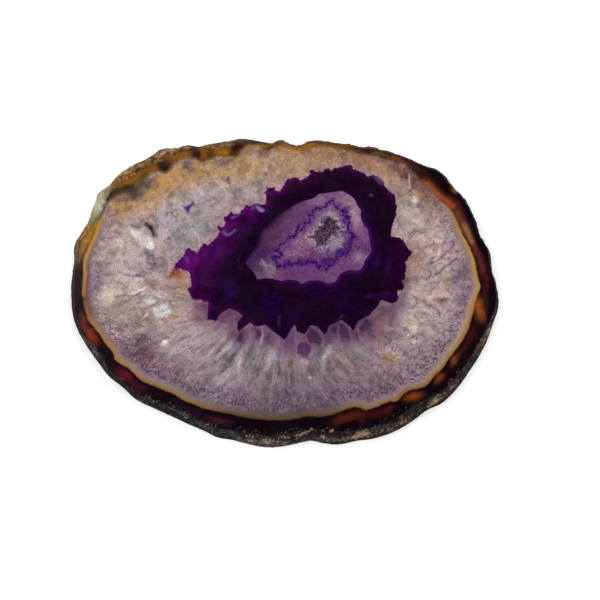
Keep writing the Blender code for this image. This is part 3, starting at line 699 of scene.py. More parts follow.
        ((96, 76, 112), 0.16, 0.8, [(41.0, 6.9), (42.0, 6.0), (41.4, 4.4), (40.4, 3.4)]),
        ((100, 80, 112), 0.14, 0.8, [(40.6, 8.0), (43.2, 8.6), (45.4, 10.2), (46.8, 12.0), (48.8, 13.6)]),
        ((104, 84, 110), 0.14, 0.7, [(40.0, 13.2), (42.6, 13.8), (45.2, 14.3), (47.4, 16.4)]),
        ((96, 76, 110), 0.16, 0.8, [(36.6, 17.6), (38.4, 18.4), (39.2, 17.4), (40.6, 17.8)]),
        ((96, 74, 108), 0.16, 0.9, [(40.4, -3.6), (42.0, -4.0), (43.7, -5.2), (44.2, -6.8)]),
        ((98, 76, 108), 0.14, 0.8, [(36.5, -0.9), (38.2, -2.2), (40.2, -2.9)]),
        ((98, 76, 108), 0.14, 0.8, [(37.6, -1.7), (37.9, -3.2), (36.3, -4.6)]),
        ((104, 80, 84), 0.18, 0.9, [(42.6, -2.2), (44.2, -2.1), (45.8, -1.8), (47.3, -2.3)]),
        ((200, 190, 186), 0.16, 0.9, [(36.4, 35.0), (36.2, 32.8), (36.5, 30.6)]),
        ((208, 202, 198), 0.20, 0.9, [(38.0, 27.8), (37.6, 26.8), (38.2, 25.9)]),
        ((176, 150, 172), 0.14, 0.9, [(-6.6, -10.2), (-6.2, -12.4), (-6.7, -14.8)]),
        ((156, 128, 152), 0.14, 0.9, [(-19.2, -8.8), (-16.8, -9.6), (-15.4, -9.8), (-13.4, -8.6)]),
        ((150, 122, 146), 0.12, 0.8, [(-21.9, -7.6), (-24.2, -6.0), (-25.8, -4.9), (-26.2, -3.4)]),
        ((158, 132, 156), 0.14, 0.9, [(7.6, -9.7), (9.8, -11.4), (10.9, -13.4), (10.6, -16.0)]),
        ((150, 124, 148), 0.12, 0.8, [(7.4, -9.9), (6.0, -12.4), (6.8, -14.6)]),
        ((154, 128, 154), 0.14, 0.9, [(16.1, -8.2), (18.4, -10.6), (19.2, -13.4)]),
        ((148, 122, 148), 0.12, 0.8, [(15.8, -8.4), (15.2, -11.4), (15.6, -14.4)]),
        ((146, 122, 144), 0.12, 0.8, [(-10.2, -10.4), (-9.6, -13.2), (-10.2, -16.4)]),
        ((150, 126, 150), 0.12, 0.8, [(-0.6, -14.2), (-0.4, -17.2), (-1.2, -20.6)]),
        ((150, 130, 148), 0.12, 0.7, [(3.2, -10.2), (3.5, -13.0), (3.1, -15.6)]),
        ((160, 142, 158), 0.12, 0.7, [(22.4, -8.2), (20.8, -10.6), (21.4, -13.4)]),
    ],
}

purplePaint = {
    "base": (24, 3, 30),
    "wander": 0.4,
    "grainy": True,
    "spots": [
        ((78, 2, 84), -26.5, 9.2, 6, 4.6, 0, 1.0), ((48, 1, 54), -23.5, 3.0, 4.2, 4.5, 0, 0.9),
        ((70, 10, 80), -17, 16.5, 7, 3.4, 48, 0.9), ((58, 3, 66), -11.5, 23.0, 6, 2.2, 18, 0.9),
        ((40, 3, 50), -12, 19, 6, 3.0, 40, 0.7), ((38, 9, 36), 6, 33, 9, 2.6, 18, 0.7),
        ((36, 10, 34), 17, 35.5, 7, 2.0, 5, 0.8), ((27, 9, 26), 23, 31, 8, 5, -40, 0.7),
        ((23, 8, 24), 27.5, 20, 4, 9, 0, 0.7), ((40, 4, 42), 34.0, 11.0, 2.6, 4.0, 0, 0.9),
        ((32, 3, 38), 31, 4, 3.0, 5, 0, 0.6), ((28, 2, 32), 29, -0.8, 5, 2.2, 10, 0.8),
        ((120, 70, 150), -28.2, 9.8, 0.5, 0.9, 20, 0.8), ((104, 20, 116), -28.4, 9.4, 1.6, 1.4, 0, 0.6),
        ((104, 12, 112), -25.4, 10.0, 0.7, 1.5, -10, 0.8), ((92, 14, 104), -23.0, 10.8, 0.8, 0.9, 0, 0.6),
        ((88, 10, 96), -14.2, 20.2, 1.0, 0.8, 0, 0.7), ((84, 8, 92), -10.0, 23.2, 1.2, 0.7, 0, 0.7),
        ((90, 24, 106), -17.2, 18.0, 1.6, 0.9, 45, 0.6), ((58, 2, 70), -20.6, 12.4, 1.4, 1.0, 40, 0.6),
        ((36, 6, 62), -15.5, 0.8, 1.8, 2.6, 0, 0.8), ((32, 5, 58), -4.2, -4.2, 2.6, 2.4, 0, 0.8),
        ((40, 6, 62), 3.8, -6.2, 1.8, 1.6, 20, 0.8), ((30, 5, 52), 17.0, -3.8, 2.0, 2.8, 0, 0.7),
        ((30, 4, 48), 9.4, -0.8, 2.6, 1.4, 0, 0.6), ((40, 14, 60), 30.0, 8.6, 0.9, 3.0, -10, 0.6),
        ((34, 16, 60), 26.2, 7.8, 0.8, 3.2, -12, 0.6), ((52, 18, 72), -19.2, -5.0, 1.0, 1.0, 0, 0.7),
        ((38, 8, 26), -2.0, 1.8, 5.0, 0.7, -6, 0.6), ((34, 6, 20), 3.0, -2.0, 3.0, 1.2, -60, 0.5),
        ((50, 16, 66), 28.6, -0.6, 2.4, 0.5, 4, 0.7), ((18, 1, 20), 10, -6.6, 7, 1.8, 0, 0.7),
        ((17, 2, 18), 24.4, 2.4, 4.0, 3.0, 0, 0.6), ((17, 2, 22), -9, 13.6, 1.2, 4.0, 40, 0.6),
        ((118, 66, 122), 27.6, 33.4, 1.6, 0.8, -35, 0.9), ((80, 34, 80), 24.4, 34.4, 0.7, 0.6, 0, 0.7),
        ((92, 72, 98), 25.1, 28.7, 0.35, 0.35, 0, 0.9), ((64, 20, 60), 21.4, 36.6, 1.0, 0.5, -20, 0.6),
        ((66, 10, 66), 5.2, 33.8, 1.0, 0.6, 30, 0.6), ((56, 8, 60), 13.4, 36.6, 0.8, 0.4, 0, 0.6),
        ((60, 10, 66), -4.4, 29.6, 1.2, 0.8, 0, 0.7), ((52, 6, 56), 1.4, 33.2, 1.0, 0.6, 20, 0.6),
    ],
    "facets": [
        ((150, 124, 168), 0.9, [(-8.9, 25.8), (-8.3, 26), (-5.8, 24.3), (-6.5, 23.6), (-7.6, 24.3)]),
        ((106, 76, 128), 0.8, [(-10, 25.6), (-9.2, 25.8), (-8.6, 24.6), (-9.8, 24.4)]),
        ((84, 40, 104), 0.7, [(-13.4, 23.2), (-12.8, 24), (-11.6, 24.4), (-11.9, 23.2)]),
        ((122, 96, 128), 0.7, [(-6.7, 29.4), (-5.6, 29.2), (-5.5, 26.4), (-6.4, 26.2)]),
    ],
    "strokes": [
        ((128, 88, 158), 0.18, 0.9, [(-15.2, 22.0), (-13.8, 22.5), (-13.2, 23.0)]),
        ((120, 84, 160), 0.18, 0.9, [(-17.9, 17.8), (-16.4, 16.7), (-15.2, 17.4), (-14.2, 18.3)]),
        ((54, 40, 96), 0.20, 0.8, [(-1.5, -7.2), (-1.7, -9.8)]),
        ((50, 34, 88), 0.18, 0.8, [(15.9, -7.6), (16.5, -6.8)]),
        ((44, 26, 70), 0.20, 0.6, [(23.2, -1.4), (24.8, -1.1)]),
        ((70, 6, 84), 0.26, 0.7, [(-22.8, 6.0), (-20.4, 8.8), (-19.0, 12.0)]),
        ((50, 12, 66), 0.22, 0.6, [(-12.6, 6.6), (-13.4, 9.6), (-12.2, 12.6)]),
    ],
}

windowPaint = {
    "base": (106, 63, 110),
    "wander": 0.5,
    "grainy": True,
    "spots": [
        ((64, 29, 77), -8.8, 9.2, 3.6, 3.4, 0, 1.0), ((68, 32, 80), -5.6, 12.4, 3.2, 2.8, 45, 0.9),
        ((86, 52, 86), -1.4, 17.0, 5.0, 2.4, 52, 0.9), ((94, 58, 98), 3.0, 22.6, 5.0, 2.2, 45, 0.8),
        ((134, 94, 126), 10.6, 27.2, 3.6, 2.0, 12, 0.8),
        ((150, 112, 136), 17.4, 27.2, 2.6, 2.2, -30, 0.9),
        ((156, 124, 142), 20.6, 22.6, 1.8, 4.4, 10, 0.9), ((122, 78, 122), 22.4, 16.8, 1.8, 3.0, 0, 0.8),
        ((100, 50, 104), 23.2, 13.2, 1.2, 2.0, 0, 0.8), ((140, 116, 132), 21.4, 10.2, 2.2, 1.8, 0, 0.8),
        ((116, 72, 118), 16.6, 8.4, 2.6, 1.8, 20, 0.7), ((112, 74, 112), 12.0, 4.6, 3.0, 1.4, 0, 0.7),
        ((98, 54, 104), 1.6, 5.4, 2.8, 1.6, 0, 0.8), ((120, 104, 116), -4.6, 6.2, 3.0, 2.2, 20, 0.9),
        ((84, 58, 84), -7.2, 6.6, 1.4, 2.4, 30, 0.8), ((112, 66, 56), -2.9, 17.9, 0.5, 1.0, -35, 0.8),
        ((140, 100, 134), 5.0, 15.2, 5.0, 3.0, 42, 0.9), ((130, 88, 124), 3.4, 11.6, 3.2, 1.8, 10, 0.7),
        ((140, 112, 136), 12.6, 24.0, 2.4, 1.6, 0, 0.7), ((138, 112, 138), 15.8, 21.6, 1.2, 2.4, 0, 0.7),
        ((128, 92, 130), 9.2, 22.0, 1.2, 2.0, -20, 0.6), ((148, 132, 146), 14.8, 14.8, 2.4, 1.8, 20, 0.9),
        ((146, 126, 146), 12.0, 13.0, 2.2, 1.2, 0, 0.8), ((148, 126, 148), 8.0, 15.0, 1.2, 0.8, 0, 0.8),
        ((150, 128, 144), 9.8, 19.8, 1.4, 0.7, 40, 0.7), ((104, 84, 106), 10.4, 11.8, 1.8, 0.9, 0, 0.6),
        ((78, 32, 104), 12.6, 12.0, 0.5, 0.6, 0, 1.0), ((96, 46, 116), 8.0, 10.4, 0.5, 1.3, 0, 0.9),
        ((130, 104, 130), -1.8, 11.2, 1.0, 0.5, -20, 0.7), ((112, 70, 108), 1.4, 14.4, 0.8, 1.6, 0, 0.6),
        ((112, 66, 124), 18.9, 18.8, 0.7, 1.0, 0, 0.7), ((150, 112, 124), 18.6, 25.8, 1.2, 0.8, 0, 0.6),
        ((100, 60, 118), 5.0, 6.6, 3.0, 0.9, 0, 0.6), ((84, 50, 92), 9.6, 3.9, 1.6, 0.5, 0, 0.5),
        ((124, 82, 116), 17.6, 16.2, 1.0, 1.0, 0, 0.6), ((110, 60, 112), 17.2, 7.2, 0.6, 0.8, 0, 0.6),
    ],
    "facets": [
        ((60, 22, 92), 0.9, [(14.6, 11.4), (14.9, 12.8), (16.4, 13.2), (17.3, 12.2), (17.4, 11),
                             (15.6, 10.8)]),
        ((66, 26, 96), 0.9, [(16.4, 14.2), (17.2, 14.6), (18, 13.2), (17.2, 12.8)]),
        ((74, 30, 104), 0.8, [(10.4, 9.6), (12.2, 10.4), (14.4, 10), (14, 8.8), (12.4, 8), (10.6, 8.2)]),
        ((84, 36, 108), 0.8, [(3.2, 9.2), (4.2, 10.2), (5.6, 9.6), (5.4, 8.6), (4, 8.8)]),
        ((88, 40, 110), 0.8, [(6, 8.8), (6.4, 10), (7.4, 10.2), (7.8, 9.2), (7.2, 8.8)]),
        ((82, 34, 112), 0.8, [(0.4, 7.6), (0.8, 8.8), (1.6, 8.8), (2, 7.8), (1.2, 7)]),
        ((94, 48, 124), 0.8, [(11.2, 25.1), (11.4, 26.1), (12.4, 26.2), (12.3, 25)]),
        ((98, 52, 122), 0.7, [(9.8, 24.9), (10, 25.9), (11, 25.8), (10.8, 24.8)]),
        ((80, 34, 104), 0.8, [(18.9, 15.1), (19.2, 16.3), (20.2, 16), (19.8, 14.6)]),
        ((58, 18, 80), 0.8, [(18.4, 13.6), (19.4, 13.2), (19.6, 11.8), (18.6, 11.6)]),
        ((96, 50, 124), 0.6, [(0.6, 13.2), (0.8, 15.6), (1.8, 15.8), (1.8, 13.4)]),
        ((106, 66, 132), 0.6, [(16.6, 22.9), (17.6, 23.6), (18.2, 22.6), (17.2, 22.4)]),
    ],
    "strokes": [
        ((150, 138, 154), 0.16, 0.8, [(-6.5, 9.4), (-5.9, 8.8), (-5.8, 8.0), (-5.0, 7.6)]),
        ((140, 128, 144), 0.14, 0.7, [(-6.9, 8.4), (-6.2, 8.2)]),
        ((36, 18, 30), 0.22, 1.0, [(7.0, 16.3), (8.2, 16.4), (9.0, 16.7)]),
        ((36, 18, 30), 0.18, 1.0, [(8.6, 18.0), (9.0, 18.6), (9.8, 19.2), (10.6, 19.1)]),
        ((36, 18, 30), 0.22, 1.0, [(10.5, 20.8), (10.8, 20.4), (11.6, 20.4)]),
        ((40, 22, 34), 0.20, 1.0, [(15.0, 19.1), (16.4, 19.1)]),
        ((52, 18, 84), 0.18, 0.9, [(15.6, 26.6), (16.2, 26.0), (15.6, 25.4)]),
        ((56, 22, 86), 0.18, 0.8, [(20.4, 13.6), (21.4, 13.2), (21.2, 12.6)]),
    ],
}

rindPaint = {     # read off the photo, so laid by where a place on the wall is seen from there
    "base": (26, 19, 24),
    "wander": 1.0,
    "grainy": True,
    "spots": [
        ((104, 68, 28), -8, 47, 44, 5, 0, 1.0), ((40, 22, 20), 44, 40, 12, 4, -38, 0.9),
        ((92, 88, 80), -4.5, -43.6, 7.0, 1.1, 0, 0.9), ((60, 54, 64), -15, -41.0, 3.4, 1.2, -20, 0.9),
        ((58, 52, 62), -21.5, -38.8, 4.0, 1.0, -25, 0.8), ((26, 20, 22), -18.2, -41.3, 1.4, 0.7, -5, 1.0),
        ((84, 84, 78), 11.6, -42.4, 1.8, 0.8, 0, 0.9), ((60, 52, 50), 7.4, -42.0, 2.4, 0.8, 8, 0.8),
        ((88, 76, 64), 16.8, -42.6, 2.6, 0.6, 8, 0.9), ((186, 160, 122), 21.6, -41.2, 1.9, 0.8, 14, 1.0),
        ((52, 42, 38), 26.6, -40.6, 3.4, 0.9, 16, 0.8), ((72, 66, 68), 26.6, -39.0, 1.8, 0.6, 10, 0.7),
        ((78, 64, 52), 33.2, -37.8, 2.6, 1.0, 32, 0.8), ((44, 34, 32), 37.8, -34.8, 2.4, 1.2, 40, 0.8),
        ((112, 96, 80), 43.2, -31.2, 2.4, 1.0, 42, 0.8), ((90, 76, 66), 47.6, -27.6, 1.8, 0.9, 48, 0.7),
        ((62, 46, 40), 52.6, -21.6, 3.0, 0.8, 58, 0.7), ((84, 62, 48), 56.4, -15.0, 2.4, 0.8, 66, 0.8),
        ((120, 98, 76), 58.8, -11.4, 1.6, 0.7, 70, 0.8), ((70, 60, 56), 59.9, -7.2, 1.6, 0.6, 80, 0.7),
        ((38, 16, 16), 60.6, 6, 1.2, 10, 0, 0.9), ((22, 10, 14), 55, 24, 1.4, 10, 25, 0.9),
        ((104, 90, 80), -60.6, 11.5, 0.9, 3.4, -6, 0.9), ((64, 50, 48), -61.2, 3.0, 0.8, 5.0, 0, 0.8),
        ((40, 28, 36), -60.8, -5.0, 0.8, 5.0, 6, 0.8), ((66, 58, 70), -53.6, -17.4, 2.4, 0.9, -52, 0.9),
        ((84, 74, 72), -56.6, -14.6, 1.6, 0.7, -50, 0.8),
        ((46, 34, 42), -47.5, -23.8, 4.0, 0.8, -38, 0.8),
        ((44, 34, 42), -38.5, -30.2, 5.0, 0.8, -24, 0.8),
        ((60, 52, 58), -30.4, -34.2, 3.0, 0.8, -24, 0.8),
        ((74, 64, 62), -28.4, -35.4, 1.4, 0.6, -25, 0.7),
        ((166, 122, 58), -57.6, 18.6, 1.2, 2.8, -28, 0.9),
        ((140, 104, 66), -59.4, 15.4, 0.8, 2.4, -25, 0.9),
        ((190, 188, 158), -54.6, 26.4, 2.2, 4.4, -22, 1.0),
        ((176, 184, 168), -52.4, 30.4, 2.4, 1.0, 48, 0.9),
        ((96, 106, 100), -53.6, 31.0, 1.0, 0.4, 45, 0.7),
        ((150, 140, 96), -56.8, 22.6, 1.6, 2.2, -25, 0.9),
        ((120, 104, 62), -57.4, 21.4, 0.8, 0.8, 0, 0.7),
        ((146, 102, 46), -46.5, 35.0, 8, 3.0, 37, 1.0), ((144, 100, 42), -33, 42.0, 10, 3, 16, 1.0),
        ((164, 134, 90), -48.2, 35.6, 2.6, 1.1, 40, 0.9),
        ((162, 132, 88), -43.6, 38.2, 3.0, 1.0, 32, 0.9),
        ((164, 134, 92), -38.2, 40.6, 2.6, 0.9, 35, 0.9),
        ((168, 140, 102), -34.2, 42.3, 2.4, 1.2, 10, 0.9),
        ((158, 122, 78), -29.6, 43.4, 2.2, 0.7, 20, 0.8),
        ((134, 104, 54), -22.4, 43.8, 3.4, 0.7, 14, 0.9),
        ((150, 122, 80), -16.8, 44.8, 2.4, 0.6, 14, 0.8), ((140, 100, 44), -18, 43.6, 5.0, 0.8, 6, 0.8),
        ((74, 44, 28), -12.6, 45.8, 3.0, 0.6, 4, 0.9), ((80, 60, 36), -6.6, 45.2, 2.4, 0.6, -15, 0.9),
        ((110, 78, 34), 1.4, 45.0, 5, 0.9, 0, 0.9), ((120, 86, 36), 9.0, 45.6, 3.4, 0.7, 0, 0.9),
        ((84, 52, 26), 17, 44.6, 5, 0.8, -10, 0.9), ((100, 66, 36), 22, 43.8, 1.8, 0.6, -10, 0.8),
        ((92, 54, 22), 27.6, 42.8, 4, 0.8, -14, 0.9), ((76, 42, 22), 34.4, 41.0, 3.4, 0.8, -22, 0.8),
        ((30, 14, 12), 42, 38, 5, 1.0, -25, 0.9), ((96, 70, 34), 49.0, 31.4, 1.6, 0.6, -40, 0.8),
        # dark clumps along the top edge
        ((52, 22, 18), -38.5, 39.6, 1.2, 0.8, 35, 1.0), ((56, 26, 20), -42.6, 36.6, 1.2, 0.7, 40, 1.0),
        ((50, 26, 20), -34.6, 41.2, 1.3, 0.6, 20, 1.0), ((52, 22, 16), -30.2, 42.0, 2.0, 0.6, 8, 1.0),
        ((44, 16, 14), -26.6, 43.2, 1.6, 0.9, 30, 1.0), ((46, 16, 12), -13.6, 44.8, 1.8, 0.8, 5, 1.0),
        ((42, 14, 12), -9.6, 44.8, 1.9, 0.8, 0, 1.0), ((60, 34, 20), -19.6, 44.2, 1.2, 0.4, 5, 0.9),
    ],
}

# where sandy crumbs show: x, y, half length, half width, turn and how much
crumbPlaces = [
    (-9.4, -41.4, 2.2, 0.5, 5, 1.0), (-9.6, -43.0, 1.0, 0.6, 0, 0.9), (-4.0, -42.8, 2.4, 0.7, 0, 1.2),
    (-5.2, -41.6, 0.8, 0.4, 0, 0.8), (0.4, -41.6, 1.8, 0.5, 0, 1.1), (4.2, -41.2, 1.2, 0.6, 20, 1.3),
    (6.6, -40.2, 1.6, 0.5, 35, 1.3), (13.3, -39.8, 0.6, 0.5, 30, 1.0), (11.2, -41.8, 1.4, 0.9, 0, 0.9),
    (17.4, -42.4, 2.4, 0.5, 12, 1.2), (21.8, -41.2, 2.2, 0.9, 14, 1.6), (23.2, -39.7, 0.8, 0.4, 0, 0.8),
    (33.4, -37.6, 2.4, 0.9, 30, 0.8), (43.2, -31.0, 2.6, 1.0, 42, 1.0), (41.4, -32.8, 0.7, 0.5, 30, 1.2),
    (28.6, -39.6, 2.0, 0.6, 10, 0.6), (-22.2, -38.6, 0.8, 0.4, 30, 0.8), (-27.6, -36.0, 1.4, 0.6, -20, 0.8),
    (-54.2, -17.8, 1.8, 0.7, -50, 0.9), (-57.0, -14.2, 1.2, 0.5, -50, 0.8), (48.0, -27.0, 1.8, 0.7, 48, 0.8),
    (58.0, -12.4, 2.4, 0.7, 66, 0.9), (-4.5, -43.8, 6.5, 0.8, 0, 0.5), (-60.4, 12, 0.8, 3.0, -8, 0.6),
    (-46, 36.6, 6.0, 1.2, 35, 0.7), (-35, 42.0, 3.4, 1.2, 15, 0.7), (-18, 44.4, 6.0, 0.5, 10, 0.6),
]


# the same for other fine patterns of the polished face
patternPlaces = {
    "veins": [
        (34, -17, 12, 10, 20, 1.0), (45, 3, 8, 15, 10, 0.7), (40, 20, 8, 8, 0, 0.45),
        (-46, 24, 12, 5, 30, 0.5), (-46, 5, 10, 13, 0, 0.6), (16, -24, 10, 8, 0, 0.3),
        (-20, 36, 34, 4, 8, 0.35),
    ],
    "rays": [(4, -18, 27, 9, 0, 1.0), (-18, -17, 9, 7, -20, 0.7)],
    # where the quartz gets bright specks of painted highlight, and where the dark strokes get none
    "paintedGlints": [
        (-43, -1, 14, 22, 0, 1.0), (2, 40, 36, 5, 0, 0.7), (38, 27, 8, 8, 0, 0.5),
        (-38.9, 18.7, 1.7, 2.6, 32, -2.0), (-31.6, 5, 3, 2, 30, -0.6),
    ],
}

brush = {
    "edge": 1.4,              # how sharply a spot ends
    "facetWander": 0.25,      # share of the straying of borders that facets take part in
    "strokeWander": 0.35,     # and strokes
    "facetEdge": 0.2,         # mm, softness of a facet's border
    "breaks": (0.55, 0.95),   # grain from which a stroke is unbroken
    "leftInBreaks": 0.4,      # what is left of it where it is broken
    "thinnest": 0.24,         # mm, half width of the finest stroke that the points can hold
}

underPattern = {
    "size": 0.985,            # the pattern is a little smaller on the underside
    "slant": (0.7, -0.5),     # mm that it has moved on the way through the stone
    "wander": 0.5,            # mm that it strays from there
    "wanderSize": 5,          # mm, size of the lumps of that straying
}


def oval(spots, x, y, halfLength, halfWidth, turn, edge=brush["edge"]):
    # 1 in the middle of a drawn oval, falling off past its edge
    away = spots - (np.array([x, y]) + drawnShift)
    c, s = math.cos(math.radians(turn)), math.sin(math.radians(turn))
    along = (away[:, 0] * c + away[:, 1] * s) / halfLength
    across = (away[:, 1] * c - away[:, 0] * s) / halfWidth
    return np.exp(-softness * (along**2 + across**2) ** edge)


def spread(spots, places):
    # how much of a pattern its places ask for at each point
    return sum(much * oval(spots, *place) for *place, much in places)


def laid(colour, tone, amount):
    # the colours with a tone laid over them
    return colour + (linear(tone) - colour) * amount[:, None]


def layPaint(spots, paint, warp, grain):
    # tones laid over each other in the order of the list, with edges that wander
    colour = np.tile(linear(paint["base"]), (len(spots), 1))
    warp = warp * paint["wander"]
    grain = grain if paint["grainy"] else np.ones(len(spots))
    for tone, *place, strength in paint["spots"]:
        amount = strength * grain * oval(spots + warp, *place, paint.get("edge", brush["edge"]))
        colour = laid(colour, tone, np.clip(amount, 0, 1))
    for tone, strength, corners in paint.get("facets", []):
        gap = nearestOn(spots + warp * brush["facetWander"], drawn(corners))[0]
        amount = np.clip(strength * (0.5 + 0.5 * grain), 0, 1)
        colour = laid(colour, tone, amount * smoothStep(gap, -brush["facetEdge"], brush["facetEdge"]))
    left = brush["leftInBreaks"]
    unbroken = left + (1 - left) * smoothStep(grain, *brush["breaks"])
    for tone, halfWidth, strength, points in paint.get("strokes", []):
        gap = nearestOn(spots + warp * brush["strokeWander"], drawn(points), closed=False)[0]
        fade = np.exp(-softness * (gap / max(halfWidth, brush["thinnest"])) ** 2)
        colour = laid(colour, tone, strength * np.maximum(unbroken, strength ** 6) * fade)
    return colour


def store(piece, name, values, kind="FLOAT"):
    layer = piece.data.attributes.new(name, kind, "POINT")
    slot = {"FLOAT": "value", "FLOAT_VECTOR": "vector", "FLOAT_COLOR": "color"}[kind]
    if kind == "FLOAT_COLOR":
        values = np.hstack([values, np.ones((len(values), 1))])
    layer.data.foreach_set(slot, np.asarray(values, np.float32).ravel())


def paintStone(stone, faceEdge, footEdge):
    points = readPoints(stone)
    height = points[:, 2]
    below = height < thickness / 2
    side = (height > hair) & (height < thickness - hair)
    onEdge = 0.05      # mm
    foot = np.abs(nearestOn(points[:, :2], footEdge)[0]) < onEdge
    side |= foot & (height < hair)

    # the pattern runs through the stone a little aslant, so the underside shows it shifted
    spots = points[:, :2].copy()
    spots[below] = spots[below] * underPattern["size"] + underPattern["slant"]
    stray = [blotches(spots[below], underPattern["wanderSize"], seed) for seed in (71, 72)]
    spots[below] += underPattern["wander"] * np.stack(stray, axis=1)

    lines = {
        "rimGap": faceEdge, "goldGap": rounded(goldLine), "purpleGap": drawn(purpleLine),
        "windowGap": rounded(windowLine), "zigzagGap": drawn(zigzagLine), "druseGap": drawn(druseLine),
    }
    gaps = {name: nearestOn(spots, line)[0] for name, line in lines.items()}
    for name, gap in gaps.items():
        store(stone, name, gap)
    gold, purple = gaps["goldGap"], gaps["purpleGap"]
    store(stone, "rind", side.astype(float))
    print("distances to the drawn lines measured")

    warp = np.stack([0.6 * blotches(spots, 1.9, seed) + 0.45 * blotches(spots, 0.8, seed + 1)
                     for seed in (1, 3)], axis=1)
    grain = 1 + 0.30 * blotches(spots, 1.1, 11) + 0.15 * blotches(spots, 0.5, 12)
    paints = {
        "rimPaint": rimPaint, "bandPaint": bandPaint, "milkPaint": milkPaint,
        "quartzPaint": quartzPaint, "purplePaint": purplePaint, "windowPaint": windowPaint,
    }
    for name, paint in paints.items():
        store(stone, name, layPaint(spots, paint, warp, grain), "FLOAT_COLOR")
    seen = points[:, :2] - np.outer(thickness - height, (0, drawnLean))
    store(stone, "rindPaint", layPaint(seen, rindPaint, warp, grain), "FLOAT_COLOR")

    # where crystals grow inward from the rim, for patterns stretched along them:
    # the slice is about 61 by 44 mm from its middle, and the crystals start 46 by 33 mm out
    turn = np.arctan2(spots[:, 1] / 44, spots[:, 0] / 61)
    flow = np.stack([46 * np.cos(turn), 33 * np.sin(turn), gold], axis=1)
    inward = smoothStep(drawnShift[1] - spots[:, 1], -3, 8)[:, None]
    flow = inward * flow + (1 - inward) * np.hstack([spots, np.full((len(spots), 1), thickness)])
    store(stone, "flow", flow, "FLOAT_VECTOR")

    # how strong each fine pattern is from place to place
    x, y = (spots - drawnShift).T
    fields = {name: spread(spots, places) for name, places in patternPlaces.items()}
    fields["rays"] *= smoothStep(-purple, 0.8, 4.0)
    # a little of those painted highlight specks over the whole face
    fields["paintedGlints"] += 0.12
    fields["specks"] = smoothStep(-gold, -10, -3) * smoothStep(-y, -2, 22)
    fields["specks"] += 0.8 * smoothStep(x, 32, 46) * smoothStep(-gold, -6.5, -2)
    fields["specks"] += 0.45 * smoothStep(-x, 36, 50) * smoothStep(-gold, -8, -2)
    fields["magenta"] = smoothStep(-x, -8, 12) * smoothStep(y, -12, 4) + 0.4 * smoothStep(y, 22, 32) + 0.1
    fields = {name: np.clip(field, 0, 1) for name, field in fields.items()}
    fields["bleed"] = 0.22 + smoothStep(-y, -1, 5) * smoothStep(-x, -38, -33) * (
        0.58 * smoothStep(x, -28, -18) + 0.2 * smoothStep(x, 2, 10))
    fields["band"] = 1 - smoothStep(y, 19, 26) * smoothStep(-x, -52, -42)
    fields["blur"] = 2.6 * np.exp(-(((x + 3) / 6) ** 2 + ((y - 17) / 9) ** 2)) * smoothStep(y - x, 8, 16)
    fields["cells"] = 0.6 + 0.4 * np.maximum(smoothStep(-y, -12, -9), smoothStep(x, 15.5, 17.5))
    fields["contour"] = smoothStep(x - y, -16, 8)
    crumbs = spread(seen, crumbPlaces) + 0.9 * spread(spots, crumbPlaces) * ~side
    fields["crumbs"] = np.clip(crumbs, 0, 1.5)
    fields["crust"] = 0.3 + 1.0 * smoothStep(-y, 6, 20) + 0.5 * smoothStep(-y, 26, 34)
    fields["crust"] += 0.8 * oval(spots, -38, 38, 16, 5, 35)
    fields["honey"] = smoothStep(y, 16, 24) * smoothStep(-x, -44, -30)
    fields["honey"] *= 1 - 0.75 * oval(spots, -54, 27, 5, 7, 0)
    fields["smooth"] = 0.85 * oval(seen, -54.4, 26, 4, 8, -20)
    for name, field in fields.items():
        store(stone, name, field)
    print("paint stored on", len(points), "points")
    return gaps["druseGap"]


def sinkDruse(stone, druse):
    # the pocket is a real hollow with crystal tips standing in it
    points = readPoints(stone)
    start, full = stoneShape["druseSlope"]
    top = np.abs(points[:, 2] - thickness) < hair
    for slot in np.flatnonzero(top & (druse > start)):
        x, y, z = points[slot]
        depth = stoneShape["druseDepth"] * smoothStep(druse[slot], start, full)
        between = abs(noise.noise(Vector((x, y, 3.0)) / stoneShape["tipSize"]))
        points[slot, 2] = z - depth * (stoneShape["tipDepth"] + stoneShape["betweenTips"] * between)
    writePoints(stone, points)


